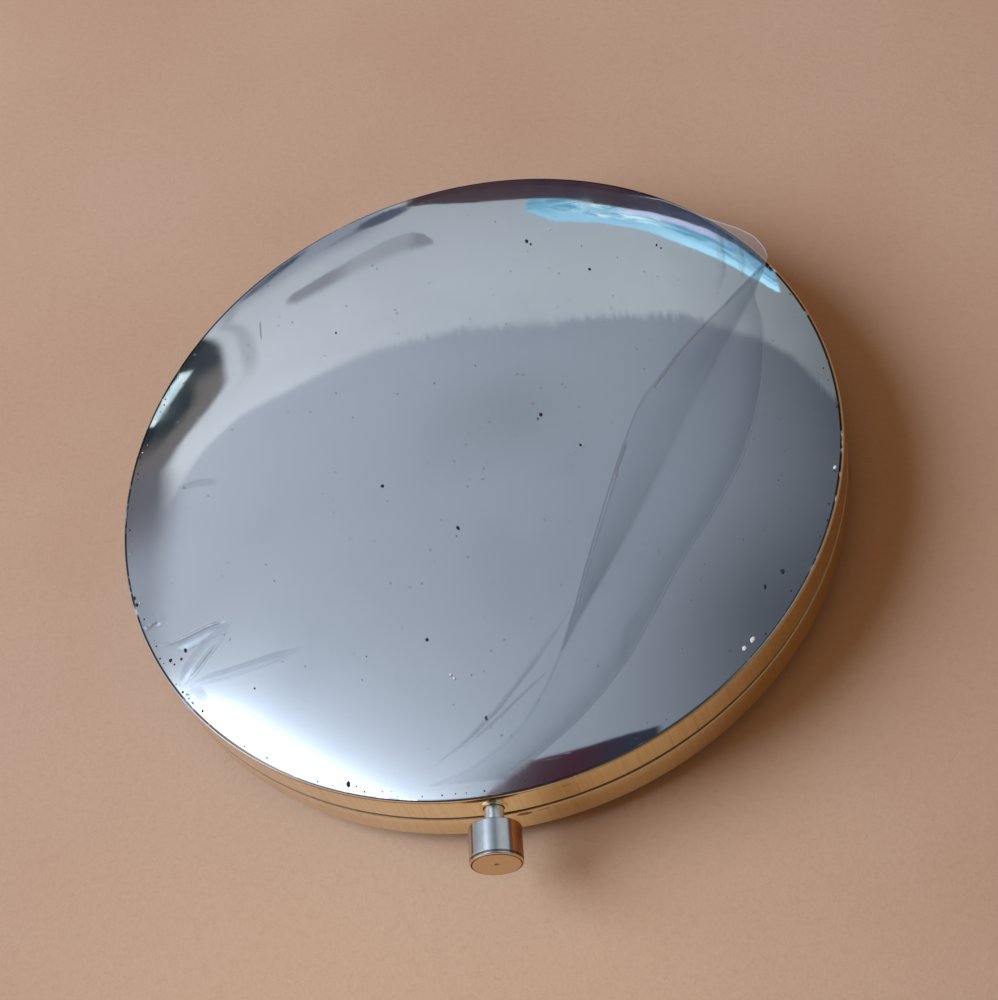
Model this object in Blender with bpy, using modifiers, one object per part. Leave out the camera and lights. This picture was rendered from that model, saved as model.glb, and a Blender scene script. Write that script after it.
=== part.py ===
"""Round push-button compact mirror, closed: two drawn shells, their mirrors, hinge, latch and spring."""

import math

import bmesh
import bpy
from mathutils import Matrix, Vector

MM = 0.001

# Shells: two like drawn halves that close on the seam plane
shell_radius = 35.0 * MM
shell_wall = 0.6 * MM
band_height = 3.4 * MM
shoulder_radius = 0.7 * MM
crown_rise = 1.6 * MM
rest_radius = 18.0 * MM
lid_flat_radius = 10.0 * MM
rim_round = 0.2 * MM
seam_gap = 0.3 * MM

# Clearances: between pieces that touch, round a turning or sliding pin, and past a cut
seat_gap = 0.3 * MM
running_gap = 0.2 * MM
overrun = 1.0 * MM

# Mirrors, their adhesive pads and the pressed frames that hold them
frame_setback = 0.15 * MM
frame_wall = 0.35 * MM
mirror_thickness = 1.2 * MM
mirror_bevel = 0.2 * MM
magnifier_hollow = 0.45 * MM
pad_thickness = 0.4 * MM
pad_margin = 2.0 * MM

# Hinge at the back
hinge_offset = 0.75 * MM
hinge_width = 12.0 * MM
leaf_thickness = 0.35 * MM
leaf_depth = 2.9 * MM
pin_radius = 0.5 * MM
leaf_rivet_margin = 2.0 * MM

# Push button at the front
button_height = 1.65 * MM
button_travel = 1.0 * MM
stem_radius = 0.75 * MM
stem_showing = 1.9 * MM
stem_head_radius = 1.0 * MM
stem_head_thickness = 0.3 * MM
cap_radius = 2.33 * MM
cap_length = 3.4 * MM
cap_edge_round = 0.38 * MM
cap_back_round = 0.15 * MM
cap_socket_depth = 2.0 * MM
cap_dimple_radius = 0.3 * MM
cap_dimple_depth = 0.15 * MM

# Return spring, retaining clip, guide bracket and latch hook inside the lid
clip_radius = 1.4 * MM
clip_thickness = 0.35 * MM
spring_length = 2.6 * MM
spring_wire = 0.25 * MM
spring_turns = 3
bracket_thickness = 0.4 * MM
bracket_foot_width = 2.6 * MM
bracket_foot_depth = 2.4 * MM
bracket_lug_rise = 1.25 * MM
hook_thickness = 0.5 * MM
hook_width = 3.0 * MM
hook_top_margin = 1.15 * MM
hook_bite = 0.4 * MM
hook_toe_height = 0.25 * MM
hook_ramp_height = 0.6 * MM
tray_clearance = 0.5 * MM
rivet_radius = 0.45 * MM
rivet_head_radius = 0.85 * MM
rivet_head_height = 0.35 * MM

# Protective film on the lid's face, with its peeled edge folded back and rolled
film_margin = 1.2 * MM
film_thickness = 0.12 * MM
film_gap = 0.15 * MM
film_roll_radius = 0.35 * MM
film_flap_lift = 0.35 * MM
film_tab_reach = 2.6 * MM

# How round things are divided, and how close points are before they merge
ring_steps = 60
small_steps = 20
cap_steps = 32
rivet_steps = 12
crown_steps = 6
shoulder_steps = 4
glass_steps = 5
film_ring_steps = 5
spring_points_per_turn = 10
merge_distance = 0.001 * MM

# The film's fold and the edge of its turned-back flap, as shares of the film's radius
film_fold_shares = [
    (0.89, 0.487), (0.849, 0.373), (0.852, 0.28), (0.839, 0.124), (0.777, -0.083), (0.668, -0.29),
    (0.523, -0.507), (0.373, -0.725), (0.217, -0.88), (0.052, -0.958), (-0.135, -0.989),
]
film_flap_shares = [
    (0.683, 0.28), (0.497, 0.072), (0.456, -0.052), (0.414, -0.176), (0.311, -0.425), (0.228, -0.642),
    (0.145, -0.797), (0.031, -0.901),
]
film_tab_shares = [(0.911, 0.524), (0.887, 0.591), (0.828, 0.658), (0.725, 0.683)]

# Heights over the seam plane, the same in both halves
rim_height = seam_gap / 2
shoulder_height = rim_height + band_height
frame_face = rim_height + frame_setback
flange_back = frame_face + frame_wall
pad_height = frame_face + mirror_thickness + seat_gap
tray_height = pad_height + pad_thickness + seat_gap
leaf_height = flange_back + seat_gap
seam_height = crown_rise + shoulder_height

# Radii in both halves
crown_edge = shell_radius - shoulder_radius
film_radius = shell_radius - film_margin
shell_inside = shell_radius - shell_wall
frame_radius = shell_inside - seat_gap

# The button's train, from the wall inwards: each piece starts where the last one ends
clip_outer = shell_inside - seat_gap
clip_inner = clip_outer - clip_thickness
spring_outer = clip_inner - seat_gap
spring_inner = spring_outer - spring_length
lug_outer = spring_inner - seat_gap
lug_inner = lug_outer - bracket_thickness
hook_outer = lug_inner - seat_gap
hook_inner = hook_outer - hook_thickness
stem_head_outer = hook_inner - running_gap
stem_inner = stem_head_outer - stem_head_thickness
tray_radius = stem_inner - button_travel - tray_clearance
mirror_radius = tray_radius - frame_wall - seat_gap
cap_back = shell_radius + stem_showing
window_half_width = hook_width / 2 + seat_gap

# The hinge's axis and knuckles
hinge_y = shell_radius + hinge_offset
knuckle_radius = leaf_height + leaf_thickness
knuckle_bore = pin_radius + running_gap
knuckle_count = 5
knuckle_length = (hinge_width - (knuckle_count - 1) * seat_gap) / knuckle_count
leaf_edge = hinge_y - knuckle_radius - seat_gap
leaf_rivet_spacing = hinge_width - 2 * leaf_rivet_margin
LID = 1
BASE = -1


def level(half, height):
    """Height in the world of something that lies this far from the seam plane in one half."""
    return seam_height + half * height


def crown(radius, flat_radius):
    """How far the crown stands over its own edge: flat in the middle, then falling evenly faster."""
    share = max(0.0, (radius - flat_radius) / (crown_edge - flat_radius))
    return crown_rise * (1 - share ** 2)


def finish_material(name, colour, roughness, metallic, transmission=0.0):
    material = bpy.data.materials.get(name)
    if material:
        return material
    material = bpy.data.materials.new(name)
    material.use_nodes = True
    shader = material.node_tree.nodes["Principled BSDF"]
    shader.inputs["Base Color"].default_value = (*colour, 1.0)
    shader.inputs["Roughness"].default_value = roughness
    shader.inputs["Metallic"].default_value = metallic
    shader.inputs["Transmission Weight"].default_value = transmission
    material.diffuse_color = (*colour, 1.0)
    return material


def chrome():
    return finish_material("polished_chrome", (0.62, 0.63, 0.65), 0.07, 1.0)


def pressed_steel():
    return finish_material("plated_pressed_steel", (0.55, 0.55, 0.56), 0.25, 1.0)


def mirror_glass():
    return finish_material("silvered_glass", (0.86, 0.88, 0.88), 0.02, 1.0)


def spring_steel():
    return finish_material("spring_steel", (0.32, 0.32, 0.34), 0.35, 1.0)


def foam_pad():
    return finish_material("white_foam_tape", (0.78, 0.77, 0.74), 0.9, 0.0)


def clear_film():
    return finish_material("clear_film", (0.9, 0.93, 0.95), 0.12, 0.0, 0.85)


def new_piece(name, mesh, material=None, group="compact_mirror"):
    """Put a mesh in the scene as one named piece, in the collection of the parts or of the cutters."""
    piece = bpy.data.objects.new(name, mesh)
    bpy.data.collections[group].objects.link(piece)
    if material:
        mesh.materials.append(material)
    if group == "cutters":
        piece.hide_render = True
        piece.display_type = "WIRE"
    return piece


def turned(name, profile, steps, material=None, closed=False, group="compact_mirror"):
    """Turn a profile of (radius, height) points about Z; a ring's profile is closed on itself."""
    mesh = bpy.data.meshes.new(name)
    edges = [(index, index + 1) for index in range(len(profile) - 1)]
    if closed:
        edges.append((len(profile) - 1, 0))
    mesh.from_pydata([(radius, 0.0, height) for radius, height in profile], edges, [])
    piece = new_piece(name, mesh, material, group)
    screw = piece.modifiers.new("turn", "SCREW")
    screw.steps = screw.render_steps = steps
    screw.use_merge_vertices = True
    screw.merge_threshold = merge_distance
    screw.use_smooth_shade = True
    return piece


def half_turned(name, half, profile, steps, material):
    """Turn a profile of (radius, height over the seam) for one half; the base is the lid turned over."""
    points = [(radius, level(half, height)) for radius, height in profile]
    if half == BASE:
        points.reverse()
    return turned(name, points, steps, material)


def box(name, low, high, material=None, group="compact_mirror"):
    """A block from its lowest to its highest corner."""
    low = Vector(low)
    high = Vector(high)
    mesh = bpy.data.meshes.new(name)
    shape = bmesh.new()
    place = Matrix.Translation((low + high) / 2) @ Matrix.Diagonal((*(high - low), 1.0))
    bmesh.ops.create_cube(shape, size=1.0, matrix=place)
    shape.to_mesh(mesh)
    shape.free()
    return new_piece(name, mesh, material, group)


def rod(name, start, end, radius, steps, material=None, group="compact_mirror"):
    """A cylinder between two points."""
    start = Vector(start)
    end = Vector(end)
    mesh = bpy.data.meshes.new(name)
    shape = bmesh.new()
    turn = (end - start).to_track_quat("Z", "Y").to_matrix().to_4x4()
    bmesh.ops.create_cone(
        shape, cap_ends=True, segments=steps, radius1=radius, radius2=radius,
        depth=(end - start).length, matrix=Matrix.Translation((start + end) / 2) @ turn)
    shape.to_mesh(mesh)
    shape.free()
    return new_piece(name, mesh, material, group)


def join(piece, other, operation):
    """Cut, join or keep what two pieces share, with an exact Boolean; the other piece is a cutter."""
    boolean = piece.modifiers.new(operation.lower() + "_" + other.name, "BOOLEAN")
    boolean.operation = operation
    boolean.solver = "EXACT"
    boolean.object = other


def as_mesh(curve):
    """Turn a curve object into a welded mesh object of the same name and place."""
    name = curve.name
    evaluated = curve.evaluated_get(bpy.context.evaluated_depsgraph_get())
    mesh = bpy.data.meshes.new_from_object(evaluated)
    shape = bmesh.new()
    shape.from_mesh(mesh)
    bmesh.ops.remove_doubles(shape, verts=shape.verts, dist=merge_distance)
    bmesh.ops.recalc_face_normals(shape, faces=shape.faces)
    shape.to_mesh(mesh)
    shape.free()
    group = curve.users_collection[0]
    place = curve.matrix_world.copy()
    bpy.data.objects.remove(curve)
    piece = bpy.data.objects.new(name, mesh)
    piece.matrix_world = place
    group.objects.link(piece)
    if group.name == "cutters":
        piece.hide_render = True
        piece.display_type = "WIRE"
    return piece


def outline_plate(name, outline, thickness, material=None, group="compact_mirror"):
    """A flat plate of any outline in its own XY plane, centred on that plane."""
    curve = bpy.data.curves.new(name, "CURVE")
    curve.dimensions = "2D"
    curve.fill_mode = "BOTH"
    curve.extrude = thickness / 2
    spline = curve.splines.new("POLY")
    spline.points.add(len(outline) - 1)
    for point, (x, y) in zip(spline.points, outline):
        point.co = (x, y, 0.0, 1.0)
    spline.use_cyclic_u = True
    plate = new_piece(name, curve, material, group)
    return as_mesh(plate)


def tube(name, points, radius, resolution, material=None, group="compact_mirror"):
    """A round tube along points, with closed ends, as a mesh."""
    curve = bpy.data.curves.new(name, "CURVE")
    curve.dimensions = "3D"
    curve.bevel_depth = radius
    curve.bevel_resolution = resolution
    curve.use_fill_caps = True
    spline = curve.splines.new("POLY")
    spline.points.add(len(points) - 1)
    for point, place in zip(spline.points, points):
        point.co = (*place, 1.0)
    route = new_piece(name, curve, material, group)
    return as_mesh(route)


def ride(piece, pivot):
    """Make a piece move with an empty that stands on its joint's axis, without moving it now."""
    piece.parent = pivot
    piece.location = piece.location - pivot.location
    return piece


def pivot_at(name, place):
    pivot = bpy.data.objects.new(name, None)
    pivot.location = place
    bpy.data.collections["compact_mirror"].objects.link(pivot)
    return pivot


def shell_profile(flat_radius):
    """One half's section: crown, shoulder and wall outside, then the same inside, a wall's thickness in."""
    slope = math.atan(2 * crown_rise / (crown_edge - flat_radius))
    stations = [flat_radius + (crown_edge - flat_radius) * step / crown_steps
                for step in range(crown_steps + 1)]
    outside = [(0.0, shoulder_height + crown_rise)]
    outside += [(radius, shoulder_height + crown(radius, flat_radius)) for radius in stations[:-1]]
    for step in range(shoulder_steps + 1):
        angle = (math.pi / 2 - slope) * (1 - step / shoulder_steps)
        outside.append((crown_edge + shoulder_radius * math.cos(angle),
                        shoulder_height - shoulder_radius * (1 - math.sin(angle))))
    rim = [(shell_radius, rim_height + rim_round),
           (shell_radius - rim_round * (1 - math.sqrt(0.5)), rim_height + rim_round * (1 - math.sqrt(0.5))),
           (shell_radius - rim_round, rim_height), (shell_inside, rim_height)]
    inside = [(min(radius, shell_inside), shoulder_height + crown(radius, flat_radius) - shell_wall)
              for radius in reversed(stations[:-1])]
    corner = [(shell_inside, shoulder_height - shell_wall)]
    centre = [(0.0, shoulder_height + crown_rise - shell_wall)]
    return outside + rim + corner + inside + centre


def hinge_notch():
    """The opening at the back of both walls that the hinge's knuckles fill."""
    reach = knuckle_radius + seat_gap
    return box("hinge_notch", (-hinge_width / 2 - seat_gap, leaf_edge - overrun, seam_height - reach),
               (hinge_width / 2 + seat_gap, shell_radius + overrun, seam_height + reach), group="cutters")


def button_axis(radius):
    """A point on the button's axis, this far from the middle of the compact."""
    return (0.0, -radius, level(LID, button_height))


def base_shell(notch):
    piece = half_turned("base_shell", BASE, shell_profile(rest_radius), ring_steps, chrome())
    join(piece, notch, "DIFFERENCE")
    return piece


def lid_shell(notch):
    piece = half_turned("lid_shell", LID, shell_profile(lid_flat_radius), ring_steps, chrome())
    join(piece, notch, "DIFFERENCE")
    hole = rod("button_hole", button_axis(shell_inside - overrun), button_axis(shell_radius + overrun),
               stem_radius + seat_gap, small_steps, group="cutters")
    join(piece, hole, "DIFFERENCE")
    return piece


def rivet_places(half):
    """Where the rivets of one half stand: a pair at the hinge, and a pair at the bracket in the lid."""
    hinge_row = leaf_edge - leaf_depth / 2
    places = [(side * leaf_rivet_spacing / 2, hinge_row) for side in (-1, 1)]
    if half == LID:
        places += bracket_rivet_places()
    return places


def bracket_rivet_places():
    across = window_half_width + bracket_foot_width / 2
    return [(side * across, -(lug_inner + bracket_foot_depth / 2)) for side in (-1, 1)]


def mirror_frame(name, half, window_inner, window_outer):
    """A pressed tray for the glass, its flange filling the half out to the shell's wall."""
    profile = [
        (0.0, tray_height + frame_wall), (tray_radius, tray_height + frame_wall),
        (tray_radius, flange_back), (frame_radius, flange_back),
        (frame_radius, frame_face), (tray_radius - frame_wall, frame_face),
        (tray_radius - frame_wall, tray_height), (0.0, tray_height),
    ]
    piece = half_turned(name, half, profile, ring_steps, pressed_steel())
    heights = sorted((level(half, rim_height - overrun), level(half, flange_back + seat_gap)))
    window = box(name + "_window", (-window_half_width, -window_outer, heights[0]),
                 (window_half_width, -window_inner, heights[1]), group="cutters")
    join(piece, window, "DIFFERENCE")
    for number, (x, y) in enumerate(rivet_places(half)):
        hole = rod(f"{name}_rivet_hole_{number}", (x, y, heights[0]), (x, y, heights[1]),
                   rivet_radius + running_gap, rivet_steps, group="cutters")
        join(piece, hole, "DIFFERENCE")
    return piece


def mirror(name, half, hollow):
    """A round glass with a ground edge; the magnifying one is hollowed at its face."""
    face = [((mirror_radius - mirror_bevel) * step / glass_steps,
             frame_face + hollow * (1 - (step / glass_steps) ** 2)) for step in range(glass_steps + 1)]
    if not hollow:
        face = [face[0], face[-1]]
    profile = [(0.0, frame_face + mirror_thickness), (mirror_radius, frame_face + mirror_thickness),
               (mirror_radius, frame_face + mirror_bevel)]
    return half_turned(name, half, profile + face[::-1], ring_steps, mirror_glass())


def adhesive_pad(name, half):
    profile = [(0.0, pad_height + pad_thickness), (mirror_radius - pad_margin, pad_height + pad_thickness),
               (mirror_radius - pad_margin, pad_height), (0.0, pad_height)]
    return half_turned(name, half, profile, ring_steps, foam_pad())


def hinge_leaf(name, half, knuckles):
    """A leaf that lies on the frame's flange, with the knuckles of its half rolled from its edge."""
    heights = sorted((level(half, leaf_height), level(half, knuckle_radius)))
    piece = box(name, (-hinge_width / 2, leaf_edge - leaf_depth, heights[0]),
                (hinge_width / 2, leaf_edge, heights[1]), pressed_steel())
    for number in knuckles:
        start = -hinge_width / 2 + number * (knuckle_length + seat_gap)
        end = start + knuckle_length
        barrel = rod(f"{name}_barrel_{number}", (start, hinge_y, seam_height), (end, hinge_y, seam_height),
                     knuckle_radius, small_steps, group="cutters")
        strip = box(f"{name}_strip_{number}", (start, leaf_edge - leaf_depth / 2, heights[0]),
                    (end, hinge_y, heights[1]), group="cutters")
        join(piece, barrel, "UNION")
        join(piece, strip, "UNION")
    reach = hinge_width / 2 + overrun
    bore = rod(name + "_bore", (-reach, hinge_y, seam_height), (reach, hinge_y, seam_height),
               knuckle_bore, small_steps, group="cutters")
    join(piece, bore, "DIFFERENCE")
    for number, side in enumerate((-1, 1)):
        x = side * leaf_rivet_spacing / 2
        y = leaf_edge - leaf_depth / 2
        hole = rod(f"{name}_rivet_hole_{number}", (x, y, heights[0] - overrun), (x, y, heights[1] + overrun),
                   rivet_radius + running_gap, rivet_steps, group="cutters")
        join(piece, hole, "DIFFERENCE")
    return piece


def hinge_pin():
    return rod("hinge_pin", (-hinge_width / 2, hinge_y, seam_height), (hinge_width / 2, hinge_y, seam_height),
               pin_radius, small_steps, pressed_steel())


def rivets(name, half, places, sheet_back):
    """Round-headed rivets that hold a sheet on the frame's flange, one piece each."""
    head_start = sheet_back + running_gap
    profile = [(0.0, head_start + rivet_head_height), (rivet_head_radius / 2, head_start + rivet_head_height),
               (rivet_head_radius, head_start + rivet_head_height / 2), (rivet_head_radius, head_start),
               (rivet_radius, head_start), (rivet_radius, frame_face), (0.0, frame_face)]
    row = []
    for number, (x, y) in enumerate(places, start=1):
        piece = half_turned(f"{name}_{number}", half, profile, rivet_steps, pressed_steel())
        piece.location = (x, y, 0.0)
        row.append(piece)
    return row


def button_turned(name, profile, steps, origin_radius, material, closed=False):
    """Turn a profile about the button's axis; its heights run outwards from origin_radius."""
    piece = turned(name, profile, steps, material, closed)
    piece.rotation_euler = (math.pi / 2, 0.0, 0.0)
    piece.location = button_axis(origin_radius)
    return piece


def button_cap():
    """The push button: a plain drum with a rounded end, a turning centre's dimple and a blind socket."""
    end_edge = []
    for step in range(shoulder_steps + 1):
        angle = math.pi / 2 * step / shoulder_steps
        end_edge.append((cap_radius - cap_edge_round * (1 - math.sin(angle)),
                         cap_length - cap_edge_round * (1 - math.cos(angle))))
    back_edge = [(cap_radius, cap_back_round), (cap_radius - cap_back_round, 0.0)]
    socket = stem_radius + running_gap
    profile = [(0.0, cap_length - cap_dimple_depth), (cap_dimple_radius, cap_length)] + end_edge + back_edge
    profile += [(socket, 0.0), (socket, cap_socket_depth), (0.0, cap_socket_depth)]
    return button_turned("button_cap", profile, cap_steps, cap_back, chrome())


def button_stem():
    """The stem, from its head inside the latch hook out into the cap's socket."""
    length = cap_back + cap_socket_depth - running_gap - stem_inner
    profile = [(0.0, length), (stem_radius, length), (stem_radius, stem_head_thickness),
               (stem_head_radius, stem_head_thickness), (stem_head_radius, 0.0), (0.0, 0.0)]
    return button_turned("button_stem", profile, small_steps, stem_inner, chrome())


def button_clip():
    """The open ring that keeps the stem from coming out through the wall."""
    bore = stem_radius + running_gap
    profile = [(clip_radius, clip_thickness), (clip_radius, 0.0), (bore, 0.0), (bore, clip_thickness)]
    piece = button_turned("button_clip", profile, small_steps, clip_inner, spring_steel(), closed=True)
    height = level(LID, button_height)
    mouth = box("clip_mouth", (-stem_radius, -clip_outer - overrun, height),
                (stem_radius, -clip_inner + overrun, height + clip_radius + overrun), group="cutters")
    join(piece, mouth, "DIFFERENCE")
    return piece


def button_spring():
    """The return spring: one wire wound round the stem between the clip and the guide bracket."""
    coil_radius = stem_radius + running_gap + spring_wire / 2
    count = spring_turns * spring_points_per_turn
    run = spring_length - spring_wire
    height = level(LID, button_height)
    points = []
    for step in range(count + 1):
        angle = 2 * math.pi * step / spring_points_per_turn
        points.append(Vector((coil_radius * math.cos(angle),
                              -(spring_inner + spring_wire / 2 + run * step / count),
                              height + coil_radius * math.sin(angle))))
    least = min((points[a] - points[b]).length
                for a in range(count + 1) for b in range(a + spring_points_per_turn // 2, count + 1))
    print("button_spring least gap to itself, mm:", round((least - spring_wire) / MM, 3))
    return tube("button_spring", points, spring_wire / 2, 1, spring_steel())


def guide_bracket():
    """The upright lug that guides the stem, on two feet riveted to the lid frame's flange.

    The lug's tongue reaches down through the frame's window, so that its hole is closed all round.
    """
    half_width = window_half_width + bracket_foot_width
    foot_low = level(LID, leaf_height)
    foot_high = foot_low + bracket_thickness
    lug_half_width = window_half_width + bracket_thickness
    piece = box("guide_bracket", (-lug_half_width, -lug_outer, foot_low),
                (lug_half_width, -lug_inner, level(LID, button_height) + bracket_lug_rise), pressed_steel())
    tongue_half_width = window_half_width - seat_gap
    tongue = box("bracket_tongue", (-tongue_half_width, -lug_outer, level(LID, frame_face)),
                 (tongue_half_width, -lug_inner, foot_high), group="cutters")
    join(piece, tongue, "UNION")
    for side in (-1, 1):
        across = sorted((side * window_half_width, side * half_width))
        foot = box(f"bracket_foot_{side + 1}", (across[0], -lug_inner - bracket_foot_depth, foot_low),
                   (across[1], -lug_inner, foot_high), group="cutters")
        join(piece, foot, "UNION")
    guide = rod("bracket_guide", button_axis(lug_inner - overrun), button_axis(lug_outer + overrun),
                stem_radius + running_gap, small_steps, group="cutters")
    join(piece, guide, "DIFFERENCE")
    for number, (x, y) in enumerate(bracket_rivet_places()):
        hole = rod(f"bracket_rivet_hole_{number}", (x, y, foot_low - overrun), (x, y, foot_high + overrun),
                   rivet_radius + running_gap, rivet_steps, group="cutters")
        join(piece, hole, "DIFFERENCE")
    return piece


def latch_hook():
    """The hook on the stem's inner end: its toe holds behind the base frame until the button is pressed."""
    top = level(LID, button_height) + hook_top_margin
    toe_top = level(BASE, flange_back + seat_gap)
    toe_low = toe_top - hook_toe_height
    bottom = toe_low - hook_ramp_height
    toe_reach = hook_outer + seat_gap + hook_bite
    outline = [(-hook_inner, top), (-hook_outer, top), (-hook_outer, toe_top), (-toe_reach, toe_top),
               (-toe_reach, toe_low), (-hook_outer, bottom), (-hook_inner, bottom)]
    piece = outline_plate("latch_hook", outline, hook_width, spring_steel())
    piece.data.transform(Matrix(((0, 0, 1, 0), (1, 0, 0, 0), (0, 1, 0, 0), (0, 0, 0, 1))))
    hole = rod("hook_hole", button_axis(hook_inner - overrun), button_axis(hook_outer + overrun),
               stem_radius + running_gap, small_steps, group="cutters")
    join(piece, hole, "DIFFERENCE")
    return piece


def film_height(radius):
    """The height of the film's lower side: over the crown, and level past its edge."""
    return level(LID, shoulder_height + crown(min(radius, crown_edge), lid_flat_radius) + film_gap)


def film_layer(name, lift, outline, group):
    """A layer of film that follows the crown, cut to an outline."""
    reach = film_radius + film_tab_reach + overrun
    stations = [0.0] + [lid_flat_radius + (crown_edge - lid_flat_radius) * step / (film_ring_steps - 1)
                        for step in range(film_ring_steps)] + [reach]
    low = [(radius, film_height(radius) + lift) for radius in stations]
    high = [(radius, height + film_thickness) for radius, height in low]
    material = None if group == "cutters" else clear_film()
    piece = turned(name, high + low[::-1], ring_steps, material, group=group)
    prism = outline_plate(name + "_outline", outline, crown_rise + film_roll_radius * 8, group="cutters")
    prism.location.z = film_height(lid_flat_radius)
    join(piece, prism, "INTERSECT")
    return piece


def protective_film():
    """The clear film: its sheet, the rolled fold along its peeled edge, and the flap turned back over it."""
    fold = [(x * film_radius, y * film_radius) for x, y in film_fold_shares]
    flap = [(x * film_radius, y * film_radius) for x, y in film_flap_shares]
    tab = [(x * film_radius, y * film_radius) for x, y in film_tab_shares]
    start = math.atan2(tab[-1][1], tab[-1][0])
    stop = 2 * math.pi + math.atan2(fold[-1][1], fold[-1][0])
    arc = [(film_radius * math.cos(start + (stop - start) * step / ring_steps),
            film_radius * math.sin(start + (stop - start) * step / ring_steps))
           for step in range(ring_steps + 1)]
    film = film_layer("protective_film", 0.0, arc + fold[::-1] + tab, "compact_mirror")
    upper = film_layer("film_flap", film_flap_lift, flap[::-1] + fold, "cutters")
    roll_height = film_roll_radius - film_thickness / 2
    route = [(x, y, film_height(math.hypot(x, y)) + roll_height) for x, y in fold]
    roll = tube("film_roll", route, film_roll_radius, 1, group="cutters")
    join(film, roll, "UNION")
    join(film, upper, "UNION")
    return film


def build():
    for old in list(bpy.data.objects):
        bpy.data.objects.remove(old)
    for name in ("compact_mirror", "cutters"):
        group = bpy.data.collections.new(name)
        bpy.context.scene.collection.children.link(group)
    notch = hinge_notch()
    base_shell(notch)
    mirror_frame("base_frame", BASE, hook_inner - button_travel - seat_gap, hook_outer + seat_gap)
    adhesive_pad("base_mirror_pad", BASE)
    mirror("base_mirror", BASE, magnifier_hollow)
    hinge_leaf("base_hinge_leaf", BASE, (0, 2, 4))
    rivets("base_hinge_rivet", BASE, rivet_places(BASE), knuckle_radius)
    hinge_pin()
    lid_pivot = pivot_at("lid_pivot", (0.0, hinge_y, seam_height))
    lid_pieces = [
        lid_shell(notch),
        mirror_frame("lid_frame", LID, stem_inner - button_travel - running_gap, frame_radius + overrun),
        adhesive_pad("lid_mirror_pad", LID),
        mirror("lid_mirror", LID, 0.0),
        hinge_leaf("lid_hinge_leaf", LID, (1, 3)),
        guide_bracket(),
        button_spring(),
        protective_film(),
    ]
    lid_pieces += rivets("lid_hinge_rivet", LID, rivet_places(BASE), knuckle_radius)
    lid_pieces += rivets("bracket_rivet", LID, bracket_rivet_places(), leaf_height + bracket_thickness)
    for piece in lid_pieces:
        ride(piece, lid_pivot)
    button_pivot = pivot_at("button_slide", button_axis(shell_radius))
    for piece in (button_cap(), button_stem(), button_clip(), latch_hook()):
        ride(piece, button_pivot)
    bpy.context.view_layer.update()


build()
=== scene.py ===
import math

import bmesh
import bpy
import numpy as np
from mathutils import Matrix, Vector


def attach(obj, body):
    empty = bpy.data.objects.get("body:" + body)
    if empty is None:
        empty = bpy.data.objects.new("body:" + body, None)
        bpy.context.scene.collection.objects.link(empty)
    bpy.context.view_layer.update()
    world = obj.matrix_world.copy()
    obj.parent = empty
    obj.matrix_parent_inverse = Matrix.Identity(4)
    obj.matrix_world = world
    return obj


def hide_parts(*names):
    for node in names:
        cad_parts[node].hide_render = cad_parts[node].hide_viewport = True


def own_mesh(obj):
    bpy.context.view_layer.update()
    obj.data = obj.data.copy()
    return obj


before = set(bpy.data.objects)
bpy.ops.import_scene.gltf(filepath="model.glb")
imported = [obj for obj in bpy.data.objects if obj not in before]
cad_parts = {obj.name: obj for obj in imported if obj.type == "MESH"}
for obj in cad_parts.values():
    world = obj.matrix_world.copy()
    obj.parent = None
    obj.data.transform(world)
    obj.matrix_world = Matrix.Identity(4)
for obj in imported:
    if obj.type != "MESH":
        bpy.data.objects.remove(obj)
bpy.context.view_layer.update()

# Base shell: the lower half, drawn from thin steel sheet, polished and chrome plated. It is turned
# about the mirror's middle, with a broad flat that the mirror rests on and a crown that rises from
# it to a rounded shoulder and a straight wall. A notch at the back lets the hinge through.
MM = 0.001
BASE, LID = -1, 1
seam_height = 5.15 * MM
shell_radius = 35.0 * MM
shell_wall = 0.6 * MM
shoulder_radius = 0.3 * MM
crown_edge = shell_radius - shoulder_radius
crown_reach = 34.3 * MM
crown_rise = 1.6 * MM
crown_top = 5.15 * MM
rim_height = 0.15 * MM
rim_round = 0.2 * MM
base_flat_radius = 18.0 * MM
ring_steps = 288
crown_steps = 44
fillet_steps = 8
notch_half_width = 6.3 * MM
notch_half_height = 1.6 * MM
notch_depth = 2.2 * MM
on_axis = 1e-7
overrun = 0.5 * MM


def level(half, height):
    """The height over the table of a size that is measured from the seam into one half."""
    return seam_height + half * height


def line(start, stop, steps=1):
    """Part of a turned section: a straight stroke, as pairs of points with their outward normals."""
    run, rise = stop[0] - start[0], stop[1] - start[1]
    length = math.hypot(run, rise)
    normal = (rise / length, -run / length)
    points = [(start[0] + run * step / steps, start[1] + rise * step / steps, *normal)
              for step in range(steps + 1)]
    return list(zip(points, points[1:]))


def arc(centre, radius, start, stop, steps=fillet_steps, hollow=1):
    """Part of a turned section: a fillet about a centre, from one angle in degrees to another."""
    points = []
    for step in range(steps + 1):
        angle = math.radians(start + (stop - start) * step / steps)
        across, up = math.cos(angle), math.sin(angle)
        points.append((centre[0] + radius * across, centre[1] + radius * up, hollow * across, hollow * up))
    return list(zip(points, points[1:]))


def path(spot, *moves):
    """A turned section as a row of moves from a spot, each of them strokes or a point to go straight to.

    A third number with a point is the number of steps on the way there."""
    strokes = []
    for move in moves:
        if isinstance(move, list):
            strokes += move
            spot = move[-1][1][:2]
        else:
            strokes += line(spot, move[:2], *move[2:])
            spot = move[:2]
    return strokes


def crown_drop(radius, flat_radius, power):
    """How far the crown has fallen at a radius, and how steeply it falls there."""
    run = crown_reach - flat_radius
    share = max(0.0, (radius - flat_radius) / run)
    return crown_rise * share ** power, crown_rise * power * share ** (power - 1) / run


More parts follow.
